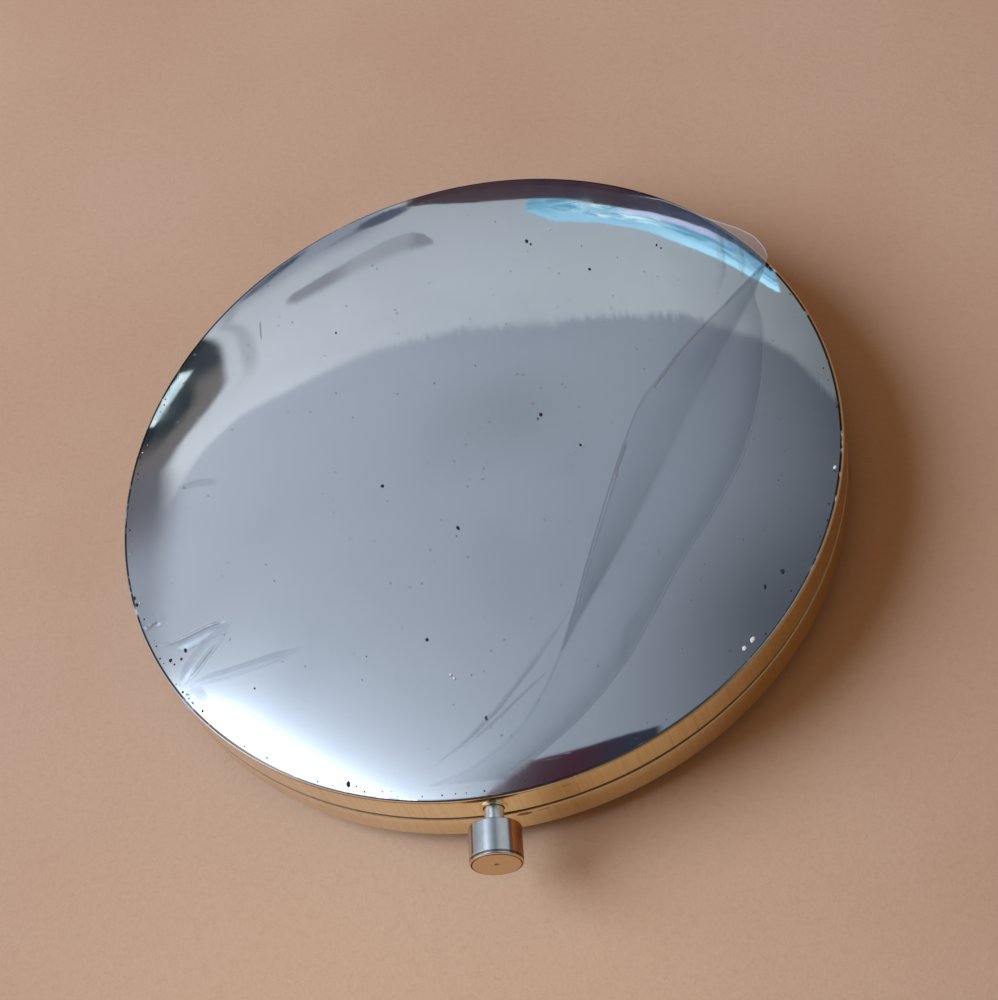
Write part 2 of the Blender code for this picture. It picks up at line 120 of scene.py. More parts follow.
def crown(flat_radius, power, sink, limit, outward):
    """The crown as strokes from the middle out, or from a limit in to the middle for the inner face."""
    points = []
    for step in range(crown_steps + 1):
        radius = limit * step / crown_steps
        drop, slope = crown_drop(radius, flat_radius, power)
        size = math.hypot(1, slope)
        points.append((radius, crown_top - drop - sink,
                       outward * slope / size, outward / size))
    points = points if outward > 0 else points[::-1]
    return list(zip(points, points[1:]))


def shell_section(flat_radius, power):
    """One half's section, with heights from the seam: crown, shoulder, wall, rim, and back inside."""
    edge_drop, edge_slope = crown_drop(crown_edge, flat_radius, power)
    slope = math.degrees(math.atan(edge_slope))
    inside = shell_radius - shell_wall
    centre = (crown_edge, crown_top - edge_drop - shoulder_radius)
    rim_centre = (shell_radius - rim_round, rim_height + rim_round)
    drop = crown_drop(inside - shell_wall / 2, flat_radius, power)[0]
    inner_corner = crown_top - drop - shell_wall
    outside = crown(flat_radius, power, 0.0, crown_edge, 1)
    shoulder = arc(centre, shoulder_radius, 90 - slope, 0, 12)
    return path(None, outside, [(outside[-1][1], shoulder[0][0])], shoulder,
                (shell_radius, rim_centre[1], 4), arc(rim_centre, rim_round, 0, -90),
                (inside, rim_height), (inside, inner_corner - shell_wall / 2, 4),
                (inside - shell_wall / 2, inner_corner),
                crown(flat_radius, power, shell_wall, inside - shell_wall / 2, -1))


def into_half(strokes, half):
    """A section measured from the seam, put at its height over the table in one half."""
    return [tuple((r, level(half, h), nr, half * nh) for r, h, nr, nh in stroke) for stroke in strokes]


def new_piece(name, points, faces):
    """A piece from points and faces, linked into the scene."""
    mesh = bpy.data.meshes.new(name)
    mesh.from_pydata(points, [], faces)
    mesh.validate()
    piece = bpy.data.objects.new(name, mesh)
    bpy.context.scene.collection.objects.link(piece)
    return piece


def turned(name, strokes, steps=ring_steps, centre=(0.0, 0.0)):
    """A solid turned about an upright line from strokes that close on themselves or on that line."""
    points, faces, rows = [], [], []
    for stroke in strokes:
        r, z = stroke[0][:2]
        if r < on_axis:
            rows.append([len(points)] * steps)
            points.append((centre[0], centre[1], z))
        else:
            rows.append(list(range(len(points), len(points) + steps)))
            points += [(centre[0] + r * math.cos(2 * math.pi * step / steps),
                        centre[1] + r * math.sin(2 * math.pi * step / steps), z) for step in range(steps)]
    last = strokes[-1][1]
    if last[0] < on_axis and strokes[0][0][0] < on_axis:
        rows.append([len(points)] * steps)
        points.append((centre[0], centre[1], last[1]))
    else:
        rows.append(rows[0])
    for low, high in zip(rows, rows[1:]):
        for step in range(steps):
            after = (step + 1) % steps
            corners = [low[step], low[after], high[after], high[step]]
            faces.append([corner for number, corner in enumerate(corners) if corner not in corners[:number]])
    faces = [face for face in faces if len(face) > 2]
    piece = new_piece(name, points, faces)
    face_outwards(piece)
    return piece


def face_outwards(piece):
    """Turns every face of a closed piece outwards."""
    work = bmesh.new()
    work.from_mesh(piece.data)
    bmesh.ops.recalc_face_normals(work, faces=work.faces)
    if work.calc_volume(signed=True) < 0:
        bmesh.ops.reverse_faces(work, faces=work.faces)
    work.to_mesh(piece.data)
    work.free()


def take_result(piece):
    """Turns the piece's live modifiers into its plain mesh."""
    seen = piece.evaluated_get(bpy.context.evaluated_depsgraph_get())
    mesh = bpy.data.meshes.new_from_object(seen)
    piece.modifiers.clear()
    piece.data = mesh
    return piece


def box_cutter(low, high):
    """A plain block that cuts a window or a notch, and is then thrown away."""
    points = [(x, y, z) for x in (low[0], high[0]) for y in (low[1], high[1]) for z in (low[2], high[2])]
    faces = [(0, 1, 3, 2), (4, 6, 7, 5), (0, 4, 5, 1), (2, 3, 7, 6), (0, 2, 6, 4), (1, 5, 7, 3)]
    cutter = new_piece("cutter", points, faces)
    face_outwards(cutter)
    return cutter


def rod_cutter(start, stop, radius, steps=48):
    """A round bar from one point to another that bores a hole, and is then thrown away."""
    start, stop = Vector(start), Vector(stop)
    length = (stop - start).length
    cutter = turned("cutter", path((0, 0), (radius, 0), (radius, length), (0, length)), steps)
    turn = Vector((0, 0, 1)).rotation_difference(stop - start).to_matrix().to_4x4()
    cutter.data.transform(Matrix.Translation(start) @ turn)
    return cutter


def cut(piece, *cutters):
    """Cuts blocks and bars out of a piece."""
    for cutter in cutters:
        change = piece.modifiers.new("cut", "BOOLEAN")
        change.operation, change.solver, change.object = "DIFFERENCE", "EXACT", cutter
        take_result(piece)
        bpy.data.objects.remove(cutter)
    return piece


def polish(piece, strokes, centre=(0.0, 0.0)):
    """Gives each corner of a turned piece the true normal of its section, so that it reflects cleanly."""
    mesh = piece.data
    mesh.shade_smooth()
    ends = np.array(strokes)
    start, run = ends[:, 0, :2], ends[:, 1, :2] - ends[:, 0, :2]
    size = np.maximum((run ** 2).sum(1), 1e-18)
    middle_normal = ends[:, :, 2:].sum(1)
    middle_normal /= np.linalg.norm(middle_normal, axis=1)[:, None]
    shift = np.array(centre)
    places = np.array([vertex.co for vertex in mesh.vertices])
    places[:, :2] -= shift
    normals = np.zeros((len(mesh.loops), 3))
    for face in mesh.polygons:
        spots = places[list(face.vertices)]
        middle = spots.mean(0)
        reach = math.hypot(middle[0], middle[1])
        outward = middle[:2] / max(reach, 1e-9)
        seen = np.array((face.normal[0] * outward[0] + face.normal[1] * outward[1], face.normal[2]))
        spot = np.array((reach, middle[2]))
        along = np.clip(((spot - start) * run).sum(1) / size, 0, 1)
        away = np.linalg.norm(start + run * along[:, None] - spot, axis=1)
        away = away + (1 - middle_normal @ seen) * 0.4 * MM
        best = int(away.argmin())
        on_section = away[best] < 0.03 * MM
        for loop, place in zip(face.loop_indices, spots):
            if not on_section:
                normals[loop] = face.normal
                continue
            r = math.hypot(place[0], place[1])
            way = place[:2] / r if r > on_axis else outward
            share = float((np.array((r, place[2])) - start[best]) @ run[best] / size[best])
            share = min(1.0, max(0.0, share))
            nr, nz = ends[best, 0, 2:] * (1 - share) + ends[best, 1, 2:] * share
            if r <= on_axis:
                nr = 0.0
            normals[loop] = (nr * way[0], nr * way[1], nz)
    normals /= np.maximum(np.linalg.norm(normals, axis=1), 1e-9)[:, None]
    mesh.normals_split_custom_set([tuple(normal) for normal in normals])
    return piece


def colour(red, green, blue):
    """A colour as a paint chart writes it, 0 to 255, made into light."""
    light = [(c / 255 / 12.92) if c <= 10 else ((c / 255 + 0.055) / 1.055) ** 2.4 for c in (red, green, blue)]
    return (*light, 1.0)


class Wire:
    """What comes out of a node. Sums and products written with it make their own Math nodes."""

    def __init__(self, finish, socket):
        self.finish, self.socket = finish, socket

    def operator(operation, swapped=False):
        """A method that makes a Math node of this wire and another one or a number."""
        def method(self, *other):
            terms = (*other, self) if swapped else (self, *other)
            return self.finish.math(operation, *terms)
        return method

    __add__ = __radd__ = operator("ADD")
    __mul__ = __rmul__ = operator("MULTIPLY")
    __sub__, __rsub__ = operator("SUBTRACT"), operator("SUBTRACT", True)
    __pow__, __rpow__ = operator("POWER"), operator("POWER", True)
    __truediv__ = operator("DIVIDE")
    least, most, size = operator("MINIMUM"), operator("MAXIMUM"), operator("ABSOLUTE")

    def share(self, start, stop):
        """Runs evenly from 0 at start to 1 at stop, whichever of the two is larger."""
        return ((self - start) / (stop - start)).least(1.0).most(0.0)

    def between(self, start, stop):
        """Rises softly from 0 at start to 1 at stop, whichever of the two is larger."""
        part = self.share(start, stop)
        return part * part * (3.0 - part * 2.0)


class Finish:
    """A finish as a tree of nodes, for a material or for the world."""

    def __init__(self, name, owner=None):
        self.owner = owner or bpy.data.materials.new(name)
        self.owner.use_nodes = True
        self.tree = self.owner.node_tree
        self.tree.nodes.clear()

    def node(self, kind, settings=None, sockets=None, output=0):
        """Any node: its settings go in first, then the values or wires of its sockets."""
        made = self.tree.nodes.new("ShaderNode" + kind)
        for name, value in (settings or {}).items():
            setattr(made, name, value)
        for name, value in (sockets or {}).items():
            if isinstance(value, Wire):
                self.tree.links.new(value.socket, made.inputs[name])
            else:
                made.inputs[name].default_value = value
        return Wire(self, made.outputs[output]) if made.outputs else None

    def math(self, operation, *terms):
        return self.node("Math", {"operation": operation}, dict(enumerate(terms)))

    def place(self, *scale):
        """Where a point is on the piece, in metres, stretched by a scale for each axis."""
        spot = self.node("TexCoord", output="Object")
        return self.node("Mapping", {}, {"Vector": spot, "Scale": scale}) if scale else spot

    def axes(self, spot):
        """How far to the right, to the back and up a point lies."""
        parts = self.node("SeparateXYZ", {}, {"Vector": spot}).socket.node.outputs
        return [Wire(self, part) for part in parts]

    def noise(self, spot, scale, detail=2.0, rough=0.5, lean=0.0):
        return self.node("TexNoise", {}, {"Vector": spot, "Scale": scale, "Detail": detail,
                                          "Roughness": rough, "Distortion": lean}, "Fac")

    def mix(self, first, second, share, blend="MIX"):
        settings = {"data_type": "RGBA", "blend_type": blend}
        return self.node("Mix", settings, {0: share, 6: first, 7: second}, 2)

    def bump(self, height, depth, strength=1.0, below=None):
        sockets = {"Height": height, "Distance": depth, "Strength": strength}
        if below:
            sockets["Normal"] = below
        return self.node("Bump", {}, sockets)

    def principled(self, **sockets):
        sockets = {name.replace("_", " "): value for name, value in sockets.items()}
        return self.node("BsdfPrincipled", {}, sockets)

    def end(self, surface):
        self.node("OutputMaterial", {}, {"Surface": surface})
        return self.owner


# dark brown patches on the front of the wall by the button, each as its place across and up from the seam,
# its width and height in millimetres and its strength: painted shade and painted reflections, where a small
# dent and the button show in the wall
front_shade_patches = ((-0.2, 3.22, 2.3, 0.22, 0.9), (2.2, -0.66, 0.75, 0.26, 0.9), (3.9, -0.60, 0.6, 0.12, 0.4),
          (6.6, 2.5, 0.5, 0.10, 0.4))


def shell_finish():
    """Polished chrome on the crowns, with smudges, hairlines and pits, and a pale gold round the walls.

    The walls are brushed up and down, and their gold turns to silver towards the left: the stronger gold at
    the right is partly a painted reflection of the warm shaded floor.
    A dark broken line round the rim, brown at the shoulder's front, at the foot and at the seam, and dark
    patches and a pale spot by the button are painted shade, painted reflections and painted highlights."""
    finish = Finish("polished_chrome")
    spot = finish.place()
    across, along, rise = finish.axes(spot)
    reach = (across * across + along * along) ** 0.5
    rise = rise - seam_height
    height = rise.size()
    outer = reach.between(shell_radius - 0.20 * MM, shell_radius - 0.15 * MM)
    wall = outer.most(height.between(2.6 * MM, 2.2 * MM) * reach.between(34.2 * MM, 34.3 * MM))
    cloud = finish.noise(spot, 42.0, 3.0)
    smudge = finish.noise(spot, 95.0, 5.0, 0.62, 0.6).between(0.5, 0.74)
    wipe_one = finish.noise(finish.place(2600.0, 130.0, 400.0), 1.0, 3.0, 0.6).between(0.64, 0.80)
    wipe_two = finish.noise(finish.place(260.0, 3100.0, 400.0), 1.0, 3.0, 0.6).between(0.66, 0.82)
    pits = finish.node("TexVoronoi", {"feature": "F1"}, {"Vector": spot, "Scale": 900.0}, "Distance")
    pits = pits.between(0.16, 0.08) * finish.noise(spot, 330.0, 2.0).between(0.56, 0.66)
    brushed = finish.noise(finish.place(3800.0, 3800.0, 90.0), 1.0, 3.0, 0.65)
    silver = finish.mix(colour(204, 204, 205), colour(196, 197, 199), cloud.between(0.35, 0.7))
    silver = finish.mix(silver, colour(120, 118, 118), pits * 0.5 + smudge * 0.05)
    # the gold turns to silver towards the left, away from the shadow: the stronger gold at the right is
    # partly a painted reflection of the warm shaded floor
    tone_shift = (across - along * 0.35 + cloud * 0.006).share(0.021, -0.015)
    gold = finish.mix(colour(251, 233, 180), colour(248, 243, 238), tone_shift)
    gold = finish.mix(gold, colour(205, 172, 120), brushed.between(0.4, 0.75) * 0.35 + pits * 0.5)
    # darker and browner towards the foot of the base's wall: painted reflection of the contact shadow under
    # it
    gold = finish.mix(gold, colour(196, 158, 108), rise.between(-0.3 * MM, -1.6 * MM) * 0.25)
    # browner at the right: painted reflection of the shadow that falls on the floor there
    gold = finish.mix(gold, colour(170, 128, 84), across.between(0.027, 0.034) * 0.35)
    tint = finish.mix(silver, gold, wall)
    # a thin ring just inside the shoulder, wider at the right front and at the left, painted dark with broken
    # white spots: painted reflection of the dark low room and painted highlights
    side = across.share(0.004, 0.030) * along.share(-0.026, -0.008)
    left = across.between(-0.014, -0.026)
    rim_reflection_line = ((reach - (shell_radius - 0.27 * MM)).size()
           / (side * 0.07 * MM + left * cloud * 0.14 * MM + 0.07 * MM)).between(1.0, 0.6)
    rim_reflection_line = rim_reflection_line * height.between(2.8 * MM, 3.0 * MM) * (side * 0.45 + left * 0.40 + 0.55).least(1.0)
    patchiness = finish.noise(spot, 520.0, 3.0, 0.7)
    tint = finish.mix(tint, colour(66, 50, 44), rim_reflection_line * patchiness.between(0.66, 0.56))
    tint = finish.mix(tint, colour(252, 250, 244), rim_reflection_line * patchiness.between(0.66, 0.70))
    # the shoulder at the front painted brown: painted shade over its bright reflection
    shoulder = height.between(3.20 * MM, 3.34 * MM) * outer
    at_front = along.between(0.004, -0.020) * (1.0 - left)
    tint = finish.mix(tint, colour(140, 100, 62), shoulder * at_front * 0.7)
    # the rounded edges beside the seam painted dark brown and made rougher: painted shade in the gap between
    # the halves
    seam_shade = height.between(0.36 * MM, 0.17 * MM) * reach.between(34.2 * MM, 34.3 * MM)
    tint = finish.mix(tint, colour(132, 94, 60), seam_shade * 0.85)
    front = along.between(-0.030, -0.034)
    # the dark patches by the button: painted shade and painted reflections
    for x, up, wide, high, strength in front_shade_patches:
        ellipse = ((across - x * MM) / (wide * MM)) ** 2.0 + ((rise - up * MM) / (high * MM)) ** 2.0
        shade_patch = (ellipse + patchiness * 0.5).between(1.5, 0.9) * front * strength
        tint = finish.mix(tint, colour(122, 76, 40), shade_patch)
    # a pale spot just above the seam beside the button: a painted highlight
    front_glint = ((across - 2.5 * MM) / (0.45 * MM)) ** 2.0 + ((rise - 0.30 * MM) / (0.10 * MM)) ** 2.0
    tint = finish.mix(tint, colour(255, 248, 236), front_glint.between(1.3, 0.7) * front * 0.9)
    crown_rough = 0.012 + cloud * 0.012 + smudge * 0.045 + wipe_one * 0.025 + wipe_two * 0.025 + pits * 0.2
    wall_rough = 0.15 + brushed * 0.12 + pits * 0.1 + seam_shade * 0.3
    roughness = crown_rough + (wall_rough - crown_rough) * wall
    fine = finish.bump(wipe_one * 0.3 + wipe_two * 0.3 + brushed * wall * 3.0, 0.0000010)
    wave = finish.bump(finish.noise(spot, 70.0, 1.0), 0.0000035, below=fine)
    return finish.end(finish.principled(Base_Color=tint, Metallic=1.0, Roughness=roughness, Normal=wave))


polished_chrome = shell_finish()


def hinge_notch():
    """The block that clears the hinge at the back of both shells."""
    return box_cutter((-notch_half_width, shell_radius - notch_depth, seam_height - notch_half_height),
                      (notch_half_width, shell_radius + overrun, seam_height + notch_half_height))


def coat(piece, finish):
    """Gives a piece one finish all over."""
    piece.data.materials.clear()
    piece.data.materials.append(finish)


def dress(piece, finish, body, slot, *nodes):
    """Gives a finished piece its finish, its body, and the nodes that it stands for, which it hides. Its slot
    is not used.
    """
    coat(piece, finish)
    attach(piece, body)
    if nodes:
        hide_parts(*nodes)
    return piece


base_strokes = into_half(shell_section(base_flat_radius, 2.0), BASE)
base_skin = turned("base_shell_skin", base_strokes)
cut(base_skin, hinge_notch())
polish(base_skin, base_strokes)
dress(base_skin, polished_chrome, "base", "polished_chrome", "base_shell")

# Mirror frames: in each half a tray pressed from plated steel, its flange sprung into the shell. The
# flange carries the hinge leaf at the back, and at the front a window that the latch reaches through.
frame_radius = 34.1 * MM
frame_face = 0.30 * MM
flange_back = 0.65 * MM
tray_radius = 27.35 * MM
frame_wall = 0.35 * MM
tray_height = 2.5 * MM
frame_fillet = 0.3 * MM
edge_round = 0.12 * MM
window_half_width = 1.8 * MM
base_window = (28.05 * MM, 30.15 * MM)
lid_window = (27.65 * MM, 34.1 * MM)
rivet_radius = 0.5 * MM
rivet_hole_radius = 0.55 * MM
rivet_hole_steps = 24
leaf_rivet_across = 4.0 * MM
leaf_rivet_row = 32.7 * MM
bracket_rivet_across = 3.1 * MM
bracket_rivet_row = -31.35 * MM


def steel_finish():
    """Plated pressed steel: fine lines from rolling, a soft sheen, spots worn by rubbing and a little dirt.
    """
    finish = Finish("plated_steel")
    spot = finish.place()
    lines = finish.noise(finish.place(220.0, 9000.0, 9000.0), 1.0, 4.0, 0.65)
    cloud = finish.noise(spot, 160.0, 4.0, 0.6)
    tone_shift = finish.noise(spot, 620.0, 3.0, 0.7).between(0.6, 0.75)
    tint = finish.mix(colour(198, 199, 200), colour(184, 185, 187), cloud.between(0.3, 0.7))
    tint = finish.mix(tint, colour(128, 122, 114), tone_shift * 0.22)
    roughness = 0.16 + cloud * 0.12 + lines * 0.10 + tone_shift * 0.15
    grain = finish.bump(lines, 0.000002, below=finish.bump(cloud, 0.000006))
    return finish.end(finish.principled(Base_Color=tint, Metallic=1.0, Roughness=roughness, Normal=grain))


plated_steel = steel_finish()


def frame_section():
    """A tray and its flange, measured from the seam, with rounded edges and a drawn corner."""
    inner = tray_radius - frame_wall
    back = tray_height + frame_wall
    edge = frame_radius - edge_round
    corner = (tray_radius + frame_fillet, flange_back + frame_fillet)
    return path((0, back), (inner, back, 6), arc((inner, back - frame_wall), frame_wall, 90, 0),
                (tray_radius, flange_back + frame_fillet, 2),
                arc(corner, frame_fillet, 180, 270, hollow=-1),
                (edge, flange_back, 6), arc((edge, flange_back - edge_round), edge_round, 90, 0),
                (frame_radius, frame_face + edge_round),
                arc((edge, frame_face + edge_round), edge_round, 0, -90),
                (inner + frame_fillet, frame_face, 6),
                arc((inner + frame_fillet, frame_face + frame_fillet), frame_fillet, -90, -180),
                (inner, tray_height, 2), (0, tray_height, 6))


def mirror_frame(name, half, window, rivet_spots):
    """One frame with its window for the latch and its rivet holes."""
    strokes = into_half(frame_section(), half)
    piece = turned(name, strokes)
    low, high = sorted((level(half, -overrun), level(half, flange_back + overrun)))
    cut(piece, box_cutter((-window_half_width, -window[1], low), (window_half_width, -window[0], high)))
    for x, y in rivet_spots:
        cut(piece, rod_cutter((x, y, low), (x, y, high), rivet_hole_radius, rivet_hole_steps))
    return polish(piece, strokes)


hinge_rivet_spots = [(-leaf_rivet_across, leaf_rivet_row), (leaf_rivet_across, leaf_rivet_row)]
bracket_rivet_spots = [(-bracket_rivet_across, bracket_rivet_row), (bracket_rivet_across, bracket_rivet_row)]
base_tray = mirror_frame("base_mirror_frame", BASE, base_window, hinge_rivet_spots)
dress(base_tray, plated_steel, "base", "plated_steel", "base_frame")
lid_tray = mirror_frame("lid_mirror_frame", LID, lid_window, hinge_rivet_spots + bracket_rivet_spots)
dress(lid_tray, plated_steel, "lid", "plated_steel", "lid_frame")

# Adhesive pads: a disc of white foam tape, punched out, that holds each glass in its tray. Its edge
# is squeezed in a little at half its thickness.
pad_radius = 24.7 * MM
pad_face = 1.8 * MM
pad_back = 2.2 * MM
pad_waist = 0.05 * MM


def foam_finish():
    """Foam tape: off-white, closed cells and a soft dull face."""
    finish = Finish("foam_tape")
    spot = finish.place()
    cells = finish.node("TexVoronoi", {"feature": "F1"}, {"Vector": spot, "Scale": 4200.0}, "Distance")
    cloud = finish.noise(spot, 120.0, 3.0)
    dulled = cells.between(0.2, 0.8) * 0.5 + cloud * 0.4
    tint = finish.mix(colour(228, 226, 219), colour(205, 202, 192), dulled)
    return finish.end(finish.principled(Base_Color=tint, Roughness=0.75 + cloud * 0.15,
                                        Normal=finish.bump(cells, 0.00003)))


foam_tape = foam_finish()
for half, body, node in ((BASE, "base", "base_mirror_pad"), (LID, "lid", "lid_mirror_pad")):
    waist = (pad_radius - pad_waist, (pad_back + pad_face) / 2)
    strokes = path((0, pad_back), (pad_radius, pad_back, 2), waist, (pad_radius, pad_face), (0, pad_face, 2))
    strokes = into_half(strokes, half)
    pad = turned(node + "_disc", strokes, 128)
    dress(polish(pad, strokes), foam_tape, body, "foam_tape", node)

# Mirror glasses: round float glass, silvered behind, its edge ground to a narrow bevel. The base
# carries the magnifying one, whose face is hollowed.
glass_radius = 26.7 * MM
glass_thickness = 1.2 * MM
glass_bevel = 0.2 * MM
magnifier_hollow = 0.45 * MM
glass_steps = 32


def glass_finish():
    """Silvered glass: clean and bright on its face, frosted pale green on its ground edge."""
    finish = Finish("mirror_glass")
    spot = finish.place()
    across, along, _ = finish.axes(spot)
    reach = (across * across + along * along) ** 0.5
    ground = reach.between(glass_radius - glass_bevel * 1.05, glass_radius - glass_bevel * 0.9)
    dust = finish.noise(spot, 900.0, 4.0, 0.7).between(0.62, 0.8)
    smear = finish.noise(finish.place(60.0, 150.0, 60.0), 1.0, 4.0, 0.6, 0.4).between(0.5, 0.85)
    tint = finish.mix(colour(232, 236, 235), colour(196, 212, 204), ground)
    roughness = 0.012 + smear * 0.02 + dust * 0.08 + ground * 0.35
    return finish.end(finish.principled(Base_Color=tint, Metallic=1.0 - ground * 0.7, Roughness=roughness,
                                        Normal=finish.bump(dust, 0.000001)))


mirror_glass = glass_finish()
for half, body, node, hollow in ((BASE, "base", "base_mirror", magnifier_hollow),
                                 (LID, "lid", "lid_mirror", 0.0)):
    edge = glass_radius - glass_bevel
    back = frame_face + glass_thickness
    strokes = path((0, back), (glass_radius - glass_bevel / 2, back, 8),
                   (glass_radius, back - glass_bevel / 2), (glass_radius, frame_face + glass_bevel),
                   (edge, frame_face))
    face = []
    for step in range(glass_steps + 1):
        share = 1 - step / glass_steps
        slope = -2 * hollow * share / edge
        size = math.hypot(1, slope)
        face.append((edge * share, frame_face + hollow * (1 - share ** 2), slope / size, -1 / size))
    strokes += list(zip(face, face[1:]))
    strokes = into_half(strokes, half)
    glass = turned(node + "_glass", strokes)
    dress(polish(glass, strokes), mirror_glass, body, "mirror_glass", node)

# Hinge leaves: each is a strip of plated steel whose edge is cut into fingers and rolled round the
# pin. Three knuckles on the base and two on the lid share the pin, which is a cut steel wire.
hinge_y = 35.75 * MM
hinge_width = 12.0 * MM
knuckle_length = 2.16 * MM
knuckle_gap = 0.3 * MM
knuckle_radius = 1.30 * MM
knuckle_bore = 0.7 * MM
pin_radius = 0.5 * MM
leaf_front = 31.25 * MM
leaf_back = 34.15 * MM
leaf_face = 0.95 * MM
leaf_thickness = 0.35 * MM
roll_steps = 40
roll_sweep = 330
tail_gap = 0.1 * MM
strip_overlap = 0.7
finger_round = 0.05 * MM
strip_round = 0.08 * MM


def shared_sheet(outline, start, stop, name):
    """A strip of sheet bent along an outline in the upright plane, and as wide as start to stop."""
    count = len(outline)
    points = [(x, y, z) for x in (start, stop) for y, z in outline]
    faces = [tuple(range(count)), tuple(range(2 * count - 1, count - 1, -1))]
    faces += [(n, (n + 1) % count, count + (n + 1) % count, count + n) for n in range(count)]
    piece = new_piece(name, points, faces)
    face_outwards(piece)
    return piece


def knuckle_outline(half):
    """The rolled finger: out along the leaf, round the pin, and back to meet the leaf."""
    outer, inner = [], []
    top = leaf_face + leaf_thickness
    start = math.degrees(math.asin(min(1.0, top / knuckle_radius)))
    for step in range(roll_steps + 1):
        angle = math.radians(180 - start - (roll_sweep - start) * step / roll_steps)
        across, up = math.cos(angle), math.sin(angle)
        outer.append((hinge_y + knuckle_radius * across, level(half, knuckle_radius * up)))
        inner.append((hinge_y + knuckle_bore * across, level(half, knuckle_bore * up)))
    tail_y = leaf_back - leaf_thickness
    tail = [(tail_y, level(half, leaf_face)), (tail_y, level(half, top))]
    return tail + outer + inner[::-1] + [(hinge_y - knuckle_radius + tail_gap, level(half, leaf_face))]


class Pattern:
    """A Geometry Nodes tree with named inputs that makes what repeats."""

    def __init__(self, name, **inputs):
        self.tree = bpy.data.node_groups.new(name, "GeometryNodeTree")
        for label, kind in inputs.items():
            self.tree.interface.new_socket(label, in_out="INPUT", socket_type="NodeSocket" + kind)
        self.tree.interface.new_socket("Result", in_out="OUTPUT", socket_type="NodeSocketGeometry")
        self.inputs = self.tree.nodes.new("NodeGroupInput").outputs

    def node(self, kind, output=0, **sockets):
        """Any node: its sockets are given wires or values. It hands back one of its outputs."""
        made = self.tree.nodes.new(kind)
        for name, value in sockets.items():
            socket = made.inputs[int(name[1:]) if name[1:].isdigit() else name.replace("_", " ")]
            if isinstance(value, bpy.types.NodeSocket):
                self.tree.links.new(value, socket)
            else:
                socket.default_value = value
        return made.outputs[output]

    def grow(self, piece, copies, finish, **values):
        """Makes the copies real, gives them their finish and leaves them in a piece as a plain mesh."""
        real = self.node("GeometryNodeRealizeInstances", Geometry=copies)
        coated = self.node("GeometryNodeSetMaterial", Geometry=real, Material=finish)
        self.tree.links.new(coated, self.tree.nodes.new("NodeGroupOutput").inputs["Result"])
        change = piece.modifiers.new("pattern", "NODES")
        change.node_group = self.tree
        for item in self.tree.interface.items_tree:
            if item.name in values:
                change[item.identifier] = values[item.name]
        return take_result(piece)


def repeated(piece, spots, name, finish):
    """Copies of a piece at a row of spots, in one plain mesh."""
    pattern = Pattern(name + "_pattern", Spots="Geometry", Original="Object")
    told = pattern.node("GeometryNodeObjectInfo", "Geometry", Object=pattern.inputs["Original"])
    copies = pattern.node("GeometryNodeInstanceOnPoints", Points=pattern.inputs["Spots"], Instance=told)
    row = pattern.grow(new_piece(name, spots, []), copies, finish, Original=piece)
    bpy.data.objects.remove(piece)
    return row


def joined(name, *parts):
    """Several closed parts of one pressing in one mesh."""
    points, faces, smooth = [], [], []
    for part in parts:
        first = len(points)
        points += [tuple(vertex.co) for vertex in part.data.vertices]
        faces += [tuple(first + corner for corner in face.vertices) for face in part.data.polygons]
        smooth += [face.use_smooth for face in part.data.polygons]
        bpy.data.objects.remove(part)
    whole = new_piece(name, points, faces)
    whole.data.polygons.foreach_set("use_smooth", smooth)
    return whole


def soften(piece, width, segments=2, angle=40.0):
    """Rounds a piece's edges by a bevel and shades what is then smooth as smooth."""
    bevel = piece.modifiers.new("bevel", "BEVEL")
    bevel.width, bevel.segments, bevel.limit_method = width, segments, "ANGLE"
    bevel.angle_limit, bevel.harden_normals = math.radians(angle), True
    piece.data.shade_smooth()
    return take_result(piece)


for half, body, node, fingers in ((BASE, "base", "base_hinge_leaf", (0, 2, 4)),
                                  (LID, "lid", "lid_hinge_leaf", (1, 3))):
    low, high = sorted((level(half, leaf_face), level(half, leaf_face + leaf_thickness)))
    plate = box_cutter((-hinge_width / 2, leaf_front, low),
                       (hinge_width / 2, leaf_back - leaf_thickness * strip_overlap, high))
    for x, y in hinge_rivet_spots:
        hole = rod_cutter((x, y, low - overrun), (x, y, high + overrun), rivet_hole_radius, rivet_hole_steps)
        cut(plate, hole)
    starts = [-hinge_width / 2 + finger * (knuckle_length + knuckle_gap) for finger in fingers]
    finger = shared_sheet(knuckle_outline(half), 0.0, knuckle_length, "finger")
    soften(finger, finger_round)
    fingers_row = repeated(finger, [(start, 0.0, 0.0) for start in starts], node + "_fingers", plated_steel)
    soften(plate, strip_round)
    dress(joined(node + "_strip", plate, fingers_row), plated_steel, body, "plated_steel", node)

pin_core = pin_radius - edge_round
pin_strokes = path((0, 0), (pin_core, 0), arc((pin_core, edge_round), edge_round, -90, 0),
                   (pin_radius, hinge_width - edge_round, 4),
                   arc((pin_core, hinge_width - edge_round), edge_round, 0, 90), (0, hinge_width))
pin = polish(turned("hinge_pin_wire", pin_strokes, 48), pin_strokes)


def lay_along(piece, turn, place):
    """Turns a piece that was turned upright, normals and all, and puts it in its place."""
    piece.data.transform(Matrix.Translation(place) @ turn.to_4x4())
    return piece


lay_along(pin, Matrix.Rotation(math.radians(90), 3, "Y"), (-hinge_width / 2, hinge_y, seam_height))
dress(pin, plated_steel, "base", "plated_steel", "hinge_pin")

# Rivets: short soft-steel rivets with domed heads, set from inside each frame: two for each hinge
# leaf and two for the bracket that guides the button's stem.
head_radius = 0.85 * MM
head_height = 0.45 * MM
head_start = leaf_face + leaf_thickness


